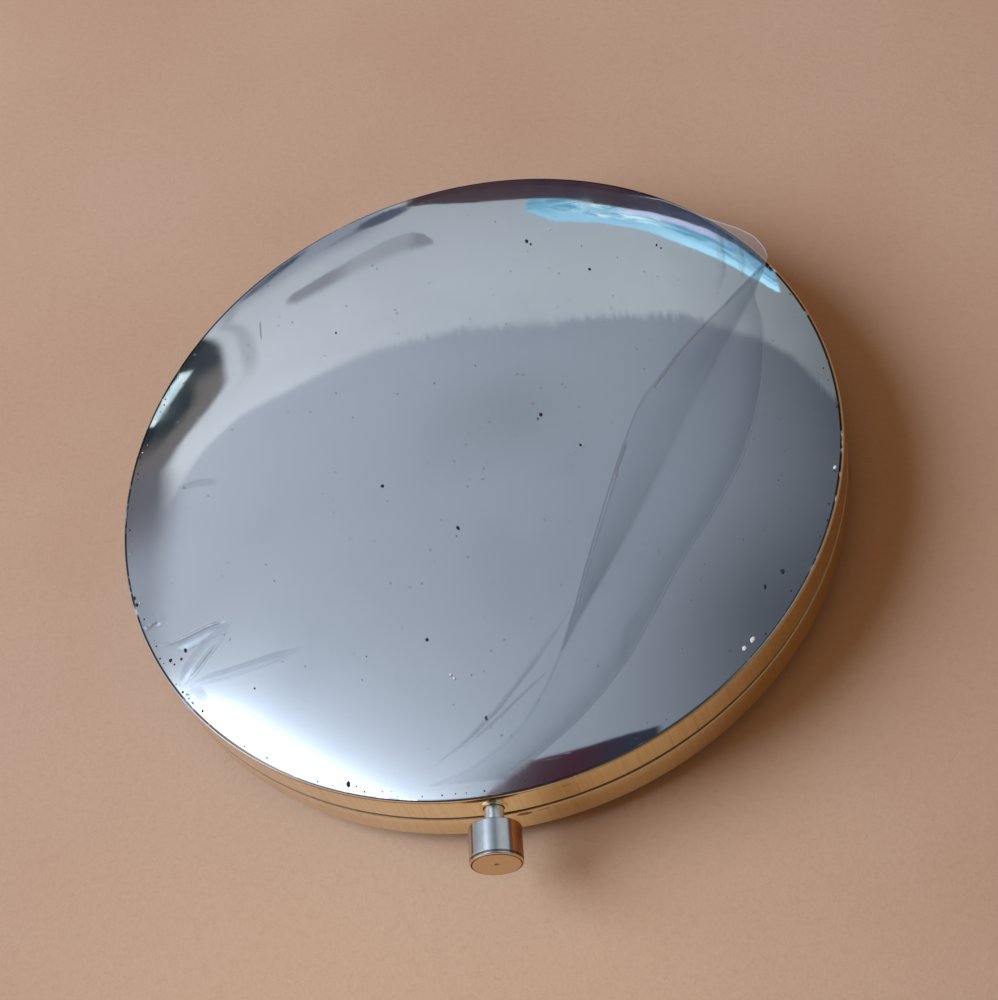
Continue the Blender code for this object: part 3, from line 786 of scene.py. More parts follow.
def dome(radius, height, start, steps):
    """Part of a turned section: a rounded head, from its top down to its edge."""
    points = []
    for step in range(steps + 1):
        angle = math.radians(90 * step / steps)
        across, up = math.sin(angle), math.cos(angle)
        points.append((radius * across, start + height * up, across, up))
    return list(zip(points, points[1:]))


def rivet(half):
    """One rivet about the upright axis: a shank through the flange and a domed head on the sheet."""
    strokes = path(None, dome(head_radius, head_height, head_start, 10), (rivet_radius, head_start),
                   (rivet_radius, frame_face + edge_round), (rivet_radius - edge_round, frame_face),
                   (0, frame_face))
    return into_half(strokes, half)


for name, half, body, spots, nodes in (
        ("base_rivets", BASE, "base", hinge_rivet_spots, ("base_hinge_rivet_1", "base_hinge_rivet_2")),
        ("lid_rivets", LID, "lid", hinge_rivet_spots, ("lid_hinge_rivet_1", "lid_hinge_rivet_2")),
        ("guide_rivets", LID, "lid", bracket_rivet_spots, ("bracket_rivet_1", "bracket_rivet_2"))):
    strokes = rivet(half)
    one = turned("rivet", strokes, 32)
    one.data.shade_smooth()
    row = repeated(one, [(x, y, 0.0) for x, y in spots], name, plated_steel)
    soften(row, 0.04 * MM, 1)
    dress(row, plated_steel, body, "plated_steel", *nodes)

# Lid shell: the upper half, drawn in the same steel, its crown rounder than the base's. A hole in
# the front of its wall passes the button's stem.
button_height = 6.80 * MM
wall_hole_radius = 1.05 * MM
crown_power = 2.4


def button_spot(radius):
    """The point of the button's axis at a distance from the mirror's middle."""
    return (0.0, -radius, button_height)


lid_strokes = into_half(shell_section(0.0, crown_power), LID)
lid_skin = turned("lid_shell_skin", lid_strokes)
cut(lid_skin, hinge_notch())
cut(lid_skin, rod_cutter(button_spot(shell_radius - 2 * shell_wall), button_spot(shell_radius + overrun),
                         wall_hole_radius, 64))
polish(lid_skin, lid_strokes)
dress(lid_skin, polished_chrome, "lid", "polished_chrome", "lid_shell")

# Guide bracket and latch: inside the front, a bent steel bracket on the lid's frame guides the stem,
# and a blued hook on the stem's end holds under the base's frame until the button is pressed in.
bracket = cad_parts["guide_bracket"]
coat(bracket, plated_steel)


def blued_finish():
    """Hardened spring steel: dark, oil-blued, with drawn lines, some of them bright."""
    finish = Finish("spring_steel")
    spot = finish.place()
    drawn = finish.noise(finish.place(5200.0, 260.0, 5200.0), 1.0, 3.0, 0.6)
    cloud = finish.noise(spot, 700.0, 3.0, 0.6)
    tint = finish.mix(colour(112, 113, 118), colour(74, 76, 86), cloud.between(0.35, 0.65))
    tint = finish.mix(tint, colour(150, 148, 145), drawn.between(0.6, 0.75) * 0.5)
    roughness = 0.22 + cloud * 0.15 + drawn * 0.08
    return finish.end(finish.principled(Base_Color=tint, Metallic=1.0, Roughness=roughness,
                                        Normal=finish.bump(drawn, 0.000002)))


spring_steel = blued_finish()
for node in ("latch_hook", "button_clip"):
    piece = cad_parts[node]
    coat(piece, spring_steel)

# Return spring: three turns of hard wire round the stem, between the clip and the bracket. Pressing
# the button shortens it.
spring_inner = 30.85 * MM
spring_outer = 33.45 * MM
spring_wire = 0.25 * MM
spring_turns = 3
stem_radius = 0.75 * MM
spring_gap = 0.2 * MM
coil_radius = stem_radius + spring_gap + spring_wire / 2


def wound_spring(name, finish):
    """The spring: a spiral of the spring's sizes, with its wire swept along it."""
    pattern = Pattern(name + "_winding", Turns="Float", Coil="Float", Length="Float", Wire="Float")
    coil, length = pattern.inputs["Coil"], pattern.inputs["Length"]
    spiral = pattern.node("GeometryNodeCurveSpiral", "Curve", Resolution=40, Height=length, Start_Radius=coil,
                          End_Radius=coil, Rotations=pattern.inputs["Turns"])
    wire = pattern.node("GeometryNodeCurvePrimitiveCircle", "Curve", Resolution=12,
                        Radius=pattern.inputs["Wire"])
    sweep = pattern.node("GeometryNodeCurveToMesh", "Mesh", Curve=spiral, Profile_Curve=wire, Fill_Caps=True)
    piece = pattern.grow(new_piece(name, [(0, 0, 0)], []), sweep, finish,
                         Turns=float(spring_turns), Coil=coil_radius,
                         Length=spring_outer - spring_inner - spring_wire, Wire=spring_wire / 2)
    lay_along(piece, Matrix.Rotation(math.radians(90), 3, "X"), button_spot(spring_inner + spring_wire / 2))
    face_outwards(piece)
    piece.data.shade_smooth()
    return piece


spring = wound_spring("button_spring_wire", spring_steel)
dress(spring, spring_steel, "lid", "spring_steel", "button_spring")
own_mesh(spring)

# Stem and push button: turned from bar and chrome plated. The stem runs in through the lid's wall,
# and the cap is pressed on its outer end, with a rounded rim and a tiny centre mark in its face.
neck_radius = 0.86 * MM
neck_inner = 34.7 * MM
neck_slope = 0.02 * MM
stem_head_radius = 1.0 * MM
stem_inner = 28.85 * MM
stem_head = 0.3 * MM
cap_back = 36.9 * MM
cap_end = 40.3 * MM
cap_radius = 2.33 * MM
cap_end_round = 0.20 * MM
groove_inner = 0.04 * MM
groove_outer = 0.05 * MM
bead_round = cap_end_round - groove_outer
groove_depth = 0.09 * MM
cap_back_round = 0.15 * MM
cap_dimple_radius = 0.3 * MM
cap_dimple_depth = 0.15 * MM
socket_radius = 0.95 * MM
socket_depth = 2.0 * MM
socket_play = 0.3 * MM
bead_sink = 0.03 * MM


def bar_finish():
    """Chrome on turned bar: rings from the tool round it, worn spots, and brassy at its end. Its flanks carry
    painted reflections, brown at the right, pale at the left and dark in lines, with a dark ring by the end
    and a painted highlight; the groove and centre mark in the face are painted dark as shade.
    """
    finish = Finish("turned_chrome")
    spot = finish.place()
    across, along, rise = finish.axes(spot)
    rings = finish.noise(finish.place(300.0, 14000.0, 300.0), 1.0, 3.0, 0.6)
    cloud = finish.noise(spot, 500.0, 3.0, 0.6)
    worn = finish.noise(spot, 1500.0, 3.0, 0.7).between(0.6, 0.75)
    tint = finish.mix(colour(226, 228, 228), colour(206, 209, 210), cloud.between(0.3, 0.7))
    round_it = across + cloud * 0.0002
    # brown on the right flank: painted reflection of the shaded tan floor beside the mirror
    tint = finish.mix(tint, colour(196, 142, 98), round_it.between(1.66 * MM, 1.84 * MM))
    # dark lines down both flanks: painted reflection
    streak = (round_it - 1.74 * MM).size().between(0.20 * MM, 0.04 * MM)
    streak = streak.most((round_it + 1.60 * MM).size().between(0.22 * MM, 0.05 * MM))
    tint = finish.mix(tint, colour(92, 84, 88), streak * 0.75)
    # pale on the far left flank: painted reflection
    left_flank_reflection = round_it.between(-1.64 * MM, -1.84 * MM)
    tint = finish.mix(tint, colour(208, 196, 190), left_flank_reflection)
    tint = finish.mix(tint, colour(150, 140, 128), worn * 0.3)
    from_end = along + cap_end
    # a dark ring over the end's rounded rim: painted reflection of the dark room in the rounding
    ring = (from_end - 0.34 * MM).size().between(0.16 * MM, 0.06 * MM)
    tint = finish.mix(tint, colour(74, 64, 76), ring * 0.8)
    glint = (across + 1.2 * MM).size().between(0.7 * MM, 0.4 * MM)
    glint = (from_end - 0.50 * MM).size().between(0.10 * MM, 0.03 * MM) * glint
    tint = finish.mix(tint, colour(252, 252, 252), glint * 0.8)
    face = from_end.between(0.22 * MM, 0.12 * MM)
    tint = finish.mix(tint, colour(219, 192, 154), face)
    reach = (across * across + (rise - button_height) ** 2.0) ** 0.5
    # the groove round the face and the centre mark painted dark brown: painted shade in the recesses
    groove = (reach - (cap_radius - 0.18 * MM)).size().between(0.08 * MM, 0.03 * MM) * face
    groove = groove.most(reach.between(0.26 * MM, 0.12 * MM) * face)
    tint = finish.mix(tint, colour(120, 76, 44), groove * 0.85)
    roughness = 0.22 + rings * 0.06 + cloud * 0.08 + worn * 0.1 + groove * 0.2
    return finish.end(finish.principled(Base_Color=tint, Metallic=1.0, Roughness=roughness,
                                        Normal=finish.bump(rings, 0.0000008)))


turned_chrome = bar_finish()


def on_button_axis(name, strokes, start, steps):
    """A piece turned about the button's axis, its section measured outwards from start."""
    piece = polish(turned(name, strokes, steps), strokes)
    return lay_along(piece, Matrix.Rotation(math.radians(90), 3, "X"), button_spot(start))


stem_length = cap_back + socket_depth - socket_play - stem_inner
neck_start = neck_inner - stem_inner
head_inner = stem_head_radius - edge_round
strokes = path((0, stem_length), (neck_radius, stem_length), (neck_radius, neck_start + edge_round, 6),
               arc((neck_radius - edge_round, neck_start + edge_round), edge_round, 0, -90, 4),
               (stem_radius, neck_start - neck_slope), (stem_radius, stem_head, 6),
               (head_inner, stem_head), arc((head_inner, stem_head - edge_round), edge_round, 90, 0),
               (stem_head_radius, edge_round), arc((head_inner, edge_round), edge_round, 0, -90), (0, 0))
stem = on_button_axis("button_stem_bar", strokes, stem_inner, 64)
dress(stem, turned_chrome, "button", "polished_chrome", "button_stem")

length = cap_end - cap_back
rim_inner = cap_radius - cap_end_round
bead_centre = (rim_inner + groove_outer, length - bead_sink - bead_round)
strokes = path((0, length - cap_dimple_depth), (cap_dimple_radius, length),
               (rim_inner - groove_inner, length, 4), (rim_inner, length - groove_depth),
               (bead_centre[0], length - bead_sink), arc(bead_centre, bead_round, 90, 0, 10),
               (cap_radius, length - cap_end_round), (cap_radius, cap_back_round, 6),
               arc((cap_radius - cap_back_round, cap_back_round), cap_back_round, 0, -90, 6),
               (socket_radius, 0, 2), (socket_radius, socket_depth), (0, socket_depth))
cap = on_button_axis("button_cap_drum", strokes, cap_back, 128)
dress(cap, turned_chrome, "button", "polished_chrome", "button_cap")

# Eyelet: a thin turned-over collar round the hole in the lid's wall, in which the stem's neck
# slides. The photo shows it as a narrow bright ring.
eyelet_inner = 0.93 * MM
eyelet_outer = 1.24 * MM
eyelet_proud = 0.14 * MM
eyelet_round = 0.06 * MM
eyelet_foot = -0.3 * MM
top = eyelet_proud - eyelet_round
inner, outer = eyelet_inner + eyelet_round, eyelet_outer - eyelet_round
strokes = path((eyelet_inner, eyelet_foot), (eyelet_inner, top),
               arc((inner, top), eyelet_round, 180, 90, 6),
               (outer, eyelet_proud), arc((outer, top), eyelet_round, 90, 0, 6),
               (eyelet_outer, eyelet_foot), (eyelet_inner, eyelet_foot))
eyelet = on_button_axis("button_eyelet", strokes, shell_radius, 64)
dress(eyelet, polished_chrome, "lid", "polished_chrome")

# Protective film: a disc of thin clear film that still clings to the lid. Its right-hand side has
# been peeled and turned back over itself in a long uneven flap, its tip sticks out past the rim, and
# at the lower left it has puckered against the edge.
film_gap = 0.03 * MM
film_roll = 0.14 * MM
film_thickness = 0.04 * MM
fold_line = [(30.2, 17.1), (29.3, 15.1), (28.5, 13.0), (28.8, 11.2), (29.0, 9.5), (28.8, 6.3), (28.1, 2.3),
             (27.0, -1.4), (25.3, -5.7), (22.2, -10.7), (18.6, -15.5), (16.1, -19.6), (13.4, -23.7),
             (10.8, -26.7), (8.1, -29.2), (4.7, -31.6), (1.4, -33.4)]
flap_line = [(30.2, 17.1), (28.8, 15.7), (27.0, 13.8), (25.7, 12.4), (23.8, 10.6), (22.1, 8.9), (20.6, 7.2),
             (18.5, 4.5), (17.3, 3.1), (16.3, 1.5), (14.4, -3.0), (12.4, -8.4), (10.0, -15.1), (9.1, -17.9),
             (7.2, -22.9), (5.6, -25.9), (3.5, -28.8), (1.3, -30.6), (-1.5, -32.2), (-5.1, -33.1)]
crease_line = [(30.2, 17.1), (28.8, 13.8), (27.2, 10.7), (25.2, 7.7), (23.6, 4.6), (21.3, 0.7), (18.6, -4.5),
               (14.6, -11.4), (11.8, -15.8), (9.1, -19.9), (7.8, -22.1)]
lobe_shape = ((29.2, 34.5), (30.0, 35.3), (32.0, 35.8), (35.0, 36.05), (38.0, 35.75), (41.0, 35.25),
              (44.0, 34.85), (48.0, 34.75), (53.0, 34.70), (57.0, 34.3), (60.0, 33.9), (272.0, 33.9))
band_shape = ((-22.5, 0.30), (-17.0, 0.34), (-11.0, 0.20), (-5.0, 0.15), (2.0, 0.13), (7.0, 0.24),
              (12.0, 0.38), (17.0, 0.40))
rim_turns = ((0.0, 29.2), (0.35, 54.0), (1.0, 272.0))
merge_spot = (7.35, -22.6)
merged_gap = 0.12 * MM
lobe_start = 33.95 * MM
lobe_width = 0.6 * MM
along_steps = 240
sheet_steps = 60
sheet_spread = 1.15
roll_rows = 8
crease_rows = 26
flap_rows = 15
flap_hem = (0.30, 0.20, 0.14, 0.09, 0.05, 0.0)
crease_width = 0.02 * MM
crease_lift = 0.05 * MM
flap_bulge = 0.06 * MM
flap_settling = 0.6
clear_haze, lobe_haze, roll_haze, flap_haze = 0.012, 0.15, 0.03, 0.020
roll_shade = 0.06
haze_start = 32.2 * MM
haze_width = 2.0 * MM


def smooth_route(places, count):
    """Evenly spaced points on a smooth curve through listed places, given in millimetres."""
    places = np.array(places) * MM
    step = np.linalg.norm(np.diff(places, axis=0), axis=1)
    reach = np.concatenate([[0.0], np.cumsum(step)])
    fine = np.linspace(0, reach[-1], count)
    route = np.stack([np.interp(fine, reach, places[:, axis]) for axis in (0, 1)], axis=1)
    for _ in range(count // 20):
        route[1:-1] = (route[:-2] + 2 * route[1:-1] + route[2:]) / 4
    return route


def lid_top(x, y):
    """The height of the lid's crown over the table."""
    reach = np.minimum(np.hypot(x, y), crown_edge)
    return level(LID, crown_top) - crown_rise * (reach / crown_reach) ** crown_power


def beside(spots, route):
    """How far each point of a row lies from the same numbered point of a line, square to the line."""
    heading = np.gradient(route, axis=0)
    heading /= np.linalg.norm(heading, axis=1)[:, None]
    gap = spots - route
    return np.abs(gap[:, 0] * heading[:, 1] - gap[:, 1] * heading[:, 0])


def inwards(route, goal, reach):
    """The points that lie a given way in from one line towards another."""
    gap = goal - route
    length = np.maximum(np.linalg.norm(gap, axis=1), 1e-9)[:, None]
    return route + gap * np.minimum(1.0, reach / length)


fold = smooth_route(fold_line, along_steps)
flap = smooth_route(flap_line, along_steps)
merge = int((flap[:, 1] > merge_spot[1] * MM).sum())
crease = inwards(flap, fold, merged_gap)
crease[:merge] = smooth_route(crease_line + [merge_spot], merge)
turn = np.interp(np.linspace(0, 1, along_steps), *zip(*rim_turns))
rim_reach = np.interp(turn, *zip(*lobe_shape)) * MM
for _ in range(4):
    rim_reach[1:-1] = (rim_reach[:-2] + 2 * rim_reach[1:-1] + rim_reach[2:]) / 4
rim = np.stack([rim_reach * np.cos(np.radians(turn)), rim_reach * np.sin(np.radians(turn))], axis=1)
lobe = np.clip((rim_reach - lobe_start) / lobe_width, 0, 1)
rows, shades, hazes = [], [], []


def add_row(spots, rise, shade, haze):
    """One row of the film's mesh, with how much it darkens and how milky it is."""
    height = lid_top(spots[:, 0], spots[:, 1]) + film_gap + rise
    rows.append(np.stack([spots[:, 0], spots[:, 1], height], axis=1))
    shades.append(shade + np.zeros(along_steps))
    hazes.append(haze + np.zeros(along_steps))


def close_to(distance, width):
    """1 on a line, falling softly to nothing at about two widths from it."""
    return np.exp(-(distance / width) ** 2)


# each row of the hem: how far in it lies, in millimetres, and how dark and how milky the lobe is there
hem_looks = ((0.0, 0.5, 0.10), (0.05, 0.5, 0.15), (0.09, 0.0, 0.32), (0.17, 0.0, 0.28), (0.22, 0.0, 0.0))
for reach, edge_shade, edge_haze in hem_looks:
    hem = inwards(rim, fold, reach * MM)
    add_row(hem, 0.0, edge_shade * lobe, clear_haze + (edge_haze + lobe_haze) * lobe)
for part in np.linspace(0, 1, sheet_steps)[1:] ** sheet_spread:
    spots = hem * (1 - part) + fold * part
    far_out = np.clip((np.hypot(spots[:, 0], spots[:, 1]) - haze_start) / haze_width, 0, 1)
    add_row(spots, 0.0, 0.0, clear_haze + lobe_haze * lobe * far_out)
heading = np.gradient(fold, axis=0)
outward = np.stack([-heading[:, 1], heading[:, 0]], axis=1)
outward /= np.linalg.norm(outward, axis=1)[:, None]
outward *= np.sign((outward * fold).sum(1))[:, None]
for step in range(1, roll_rows + 1):
    angle = math.pi * step / roll_rows
    add_row(fold + outward * film_roll * math.sin(angle), film_roll * (1 - math.cos(angle)),
            roll_shade, roll_haze)


def flap_rise(spots):
    """How high the turned-back flap stands: it springs at its crease and lifts a little at its edge."""
    from_fold, from_edge = beside(spots, fold), beside(spots, flap)
    part = from_fold / np.maximum(from_fold + from_edge, 1e-9)
    lift = crease_lift * close_to(beside(spots, crease), 0.5 * MM) + flap_bulge * np.sin(math.pi * part)
    return 2 * film_roll * (1 - part * flap_settling) + lift


for part in np.linspace(0, 1, crease_rows + 1)[1:]:
    spots = fold * (1 - part) + crease * part
    from_fold = beside(spots, fold)
    shade = 0.02 + 0.17 * close_to(from_fold, 1.4 * MM) + 0.10 * close_to(from_fold, 0.15 * MM)
    add_row(spots, flap_rise(spots), shade, flap_haze)
band = np.interp(crease[:, 1] / MM, *zip(*band_shape)) * (np.arange(along_steps) < merge)


def add_flap_row(spots):
    """One row of the flap beyond its crease, which a dark band follows, as does its cut edge."""
    from_edge, from_crease = beside(spots, flap), beside(spots, crease)
    across = from_edge / np.maximum(from_edge + from_crease, 1e-9)
    shade = band * (0.55 + 0.8 * across) + 0.45 * close_to(from_edge, 0.10 * MM)
    add_row(spots, flap_rise(spots), shade, flap_haze + 0.08 * close_to(from_edge, 0.04 * MM))


start = inwards(crease, flap, crease_width)
for reach in np.linspace(1, 0, flap_rows + 1)[:-1]:
    spots = start * reach + flap * (1 - reach)
    in_hem = np.linalg.norm(spots - flap, axis=1) < flap_hem[0] * MM
    add_flap_row(np.where(in_hem[:, None], inwards(flap, start, flap_hem[0] * MM), spots))
for reach in flap_hem:
    add_flap_row(inwards(flap, start, reach * MM))


def woven(name, rows):
    """A smooth single sheet through rows of points that all have the same number."""
    count = len(rows[0])
    faces = [(row * count + n, row * count + n + 1, (row + 1) * count + n + 1, (row + 1) * count + n)
             for row in range(len(rows) - 1) for n in range(count - 1)]
    sheet = new_piece(name, [tuple(point) for point in np.concatenate(rows)], faces)
    sheet.data.shade_smooth()
    return sheet


def mark(piece, label, values):
    """Writes a value for each point of a piece, for its finish to read."""
    marks = piece.data.attributes.new(label, "FLOAT", "POINT")
    marks.data.foreach_set("value", np.clip(np.concatenate(values), 0, 1).astype(np.float32))


film = woven("lid_film", rows)
mark(film, "shade", shades)
mark(film, "haze", hazes)


def film_finish():
    """Clear film: nearly all of it lets the metal through, it shines, and folds and edges darken it."""
    finish = Finish("clear_film")
    spot = finish.place()
    shade = finish.node("Attribute", {"attribute_name": "shade"}, output="Fac")
    haze_wire = finish.node("Attribute", {"attribute_name": "haze"}, output="Fac")
    ripple = finish.noise(spot, 150.0, 3.0, 0.6)
    scuff = finish.noise(finish.place(900.0, 150.0, 400.0), 1.0, 4.0, 0.65).between(0.55, 0.8)
    uneven = finish.bump(ripple, 0.00002, below=finish.bump(scuff, 0.000003))
    clear = finish.node("BsdfTransparent", {}, {"Color": (1.0, 1.0, 1.0, 1.0)})
    grey = finish.node("BsdfTransparent", {}, {"Color": (0.42, 0.43, 0.46, 1.0)})
    through = finish.node("MixShader", {}, {0: shade, 1: clear, 2: grey})
    facing = finish.node("LayerWeight", {}, {"Blend": 0.5, "Normal": uneven}, "Facing")
    shine = finish.principled(Base_Color=colour(214, 222, 232), Roughness=0.10 + scuff * 0.12, Normal=uneven,
                              Metallic=haze_wire.share(0.42, 0.16) * 0.9)
    amount = (facing ** 5.0 * 0.9 + haze_wire + scuff * 0.015 + 0.055).least(1.0)
    return finish.end(finish.node("MixShader", {}, {0: amount, 1: through, 2: shine}))


clear_film = film_finish()
dress(film, clear_film, "lid", "clear_film", "protective_film")

# Puckers: where the film was pushed about, at the lower left and beside the flap, it stands up in thin
# rounded creases. Each is a low ridge of the same film that fades out at both ends.
# each one's places on the lid, its half width and height, all in millimetres, its shade and its haze
pucker_routes = [
    ([(-31.0, -14.4), (-29.6, -14.7), (-27.6, -14.3), (-25.6, -13.7), (-23.4, -13.5)], 0.30, 0.10, 0.0, 0.30),
    ([(-29.4, -15.2), (-27.8, -14.9), (-26.0, -14.3), (-23.6, -13.9)], 0.85, 0.03, 0.0, 0.24),
    ([(-23.4, -13.4), (-25.0, -15.0), (-26.8, -17.0), (-28.6, -19.4)], 0.95, 0.04, 0.0, 0.26),
    ([(-24.6, -15.4), (-26.6, -17.6), (-28.0, -19.2)], 0.25, 0.07, 0.0, 0.20),
    ([(-28.0, -20.0), (-26.4, -19.2), (-23.4, -18.9), (-19.6, -18.4), (-15.8, -17.7)], 0.55, 0.03, 0.16, 0.0),
    ([(-32.6, -12.0), (-31.9, -12.5), (-31.2, -12.1), (-30.6, -12.3)], 0.22, 0.12, 0.0, 0.30),
    ([(-31.8, -11.2), (-31.0, -11.6), (-30.4, -12.6)], 0.70, 0.03, 0.0, 0.18),
    ([(-27.4, -19.6), (-27.0, -20.6), (-26.2, -22.0)], 1.10, 0.04, 0.04, 0.16),
    ([(-21.2, 22.0), (-21.1, 20.4), (-20.9, 18.6)], 0.10, 0.02, 0.35, 0.0),
    ([(9.1, -17.9), (7.8, -19.5), (4.9, -23.1), (1.6, -26.8), (-1.7, -29.6), (-5.0, -31.5)],
     0.26, 0.08, 0.06, 0.07),
    ([(6.9, -23.5), (4.0, -25.7), (1.5, -27.7), (-2.2, -30.4)], 0.20, 0.06, 0.0, 0.09),
    ([(26.0, 23.4), (26.2, 20.8), (26.0, 16.8), (25.0, 13.1)], 0.40, 0.02, 0.05, 0.05),
    ([(27.8, 21.6), (28.0, 17.5), (27.5, 14.6)], 0.34, 0.02, 0.03, 0.06),
    ([(-29.5, 2.6), (-26.9, 2.6), (-24.6, 2.2)], 0.40, 0.02, 0.12, 0.0),
    ([(14.9, -19.0), (13.0, -21.5), (12.2, -25.0)], 0.60, 0.04, 0.0, 0.04)]
ridge_steps = 8
pucker_steps = 90
pucker_fade = 0.3
pucker_shades, pucker_hazes = [], []


def pucker(places, width, height, shade, haze, number):
    """One crease: a ridge of rounded section laid along a smooth route over the crown."""
    route = smooth_route(places, pucker_steps)
    way = np.gradient(route, axis=0)
    way /= np.linalg.norm(way, axis=1)[:, None]
    side = np.stack([-way[:, 1], way[:, 0]], axis=1)
    run = np.linspace(0, 1, pucker_steps)
    fade = np.clip(np.minimum(run, 1 - run) / pucker_fade, 0, 1)
    fade = fade * fade * (3 - 2 * fade)
    rows = []
    for step in range(ridge_steps + 1):
        part = 2 * step / ridge_steps - 1
        spots = route + side * (part * width * MM * (0.35 + 0.65 * fade))[:, None]
        rise = height * MM * fade * (1 + math.cos(math.pi * part)) / 2
        foot = lid_top(spots[:, 0], spots[:, 1]) + film_gap + film_thickness
        rows.append(np.stack([spots[:, 0], spots[:, 1], foot + rise], axis=1))
    fades = np.tile(fade, ridge_steps + 1)
    pucker_shades.append(shade * fades)
    pucker_hazes.append(haze * fades)
    return woven(f"pucker_{number}", rows)


puckers = joined("film_puckers", *[pucker(*route, number) for number, route in enumerate(pucker_routes)])
mark(puckers, "shade", pucker_shades)
mark(puckers, "haze", pucker_hazes)
dress(puckers, clear_film, "lid", "clear_film")

# Specks: grit and tiny air bells caught under and on the film, a few large ones where they show most
# and a sprinkle of fine dust.
# each one's place and its radius, in millimetres
dark_places = [(7.1, 24.9, 0.20), (7.5, 24.4, 0.12), (13.2, 19.6, 0.17), (7.3, 2.7, 0.19), (7.0, 2.3, 0.10),
               (10.8, -1.5, 0.16), (-8.3, -2.2, 0.18), (-1.2, -8.3, 0.19), (-4.6, -19.3, 0.17),
               (0.3, -27.7, 0.18), (27.4, -17.7, 0.24), (25.7, -19.0, 0.17), (-12.4, -31.7, 0.24),
               (-27.9, -15.7, 0.22),
               (-28.3, -16.5, 0.12), (-12.9, 17.6, 0.12), (20.0, 21.4, 0.13), (20.4, 20.9, 0.10),
               (-21.0, -21.0, 0.10), (-27.1, -21.2, 0.14), (-28.1, -19.9, 0.12), (-26.1, -22.2, 0.13),
               (-33.4, -8.9, 0.15), (-33.1, -9.7, 0.17), (-29.4, -16.4, 0.16), (-29.0, -16.9, 0.11)]
pale_places = [(24.0, -23.9, 0.26), (23.2, -24.6, 0.24), (-2.6, -23.1, 0.16), (-2.3, -23.5, 0.14),
               (33.4, -7.8, 0.18), (-23.5, -15.5, 0.12), (9.5, 26.0, 0.10)]


def scattered(name, carrier, finish, amount, seed, least, most):
    """Fine grains strewn over a carrier's upper face, which they replace."""
    pattern = Pattern(name + "_strewing", Carrier="Geometry", Amount="Float", Seed="Int",
                      Least="Float", Most="Float")
    given = pattern.inputs
    spots = pattern.node("GeometryNodeDistributePointsOnFaces", "Points", Mesh=given["Carrier"],
                         Density=given["Amount"], Seed=given["Seed"])
    grain = pattern.node("GeometryNodeMeshIcoSphere", "Mesh", Radius=1.0, Subdivisions=1)
    sizes = pattern.node("FunctionNodeRandomValue", 1, _2=given["Least"], _3=given["Most"],
                         Seed=given["Seed"])
    copies = pattern.node("GeometryNodeInstanceOnPoints", Points=spots, Instance=grain, Scale=sizes)
    pattern.grow(carrier, copies, finish, Amount=amount, Seed=seed, Least=least, Most=most)
    carrier.name = name
    return carrier


def speck_finish(name, first, second):
    """A dull grain that clouds from one colour to the other."""
    finish = Finish(name)
    spot = finish.place()
    cloud = finish.noise(spot, 3000.0, 2.0)
    return finish.end(finish.principled(Base_Color=finish.mix(colour(*first), colour(*second), cloud),
                                        Roughness=0.5 + cloud * 0.2, Normal=finish.bump(cloud, 0.00002)))


dust_specks = speck_finish("dark_grit", (22, 24, 30), (52, 50, 52))
pale_specks = speck_finish("pale_flecks", (232, 236, 240), (190, 198, 208))
grain_least = 0.02 * MM
dust_most = 0.055 * MM
dirt_most = 0.11 * MM
dust_rings = (0.0, 8.0, 16.0, 24.0, 31.0)
dust_corners = 24
dirt_rings = (34.05, 34.55)
dirt_steps = 60


def on_lid(reach, angle, lift=0.0):
    """A point over the lid's crown, by its distance in millimetres and its angle in radians."""
    x, y = reach * MM * math.cos(angle), reach * MM * math.sin(angle)
    return (x, y, float(lid_top(np.array(x), np.array(y))) + lift)


dust_points = [on_lid(reach, 2 * math.pi * n / dust_corners, film_gap + film_thickness)
               for reach in dust_rings for n in range(dust_corners)]
dust_faces = []
for first in range(0, dust_corners * (len(dust_rings) - 1), dust_corners):
    for n in range(dust_corners):
        after = first + (n + 1) % dust_corners
        dust_faces.append((first + n, after, after + dust_corners, first + dust_corners + n))
carrier = new_piece("dust_carrier", dust_points, dust_faces)
dust = scattered("film_dust", carrier, dust_specks, 60000.0, 7, grain_least, dust_most)
dress(dust, dust_specks, "lid", "clear_film")

# dirt that has gathered in the corner of the rim, thickest at the left
for name, finish, amount, seed, start, stop in (
        ("rim_dirt", dust_specks, 1500000.0, 21, 150, 285),
        ("rim_lint", pale_specks, 500000.0, 22, 165, 260),
        ("rim_dirt_right", dust_specks, 700000.0, 23, -65, 60)):
    points = [on_lid(reach, math.radians(angle))
              for reach in dirt_rings for angle in np.linspace(start, stop, dirt_steps)]
    faces = [(n, dirt_steps + n, dirt_steps + n + 1, n + 1) for n in range(dirt_steps - 1)]
    carrier = new_piece(name, points, faces)
    dress(scattered(name, carrier, finish, amount, seed, grain_least, dirt_most), finish, "lid", "clear_film")


grain_flatness = 0.4
grain_unevenness = 0.25


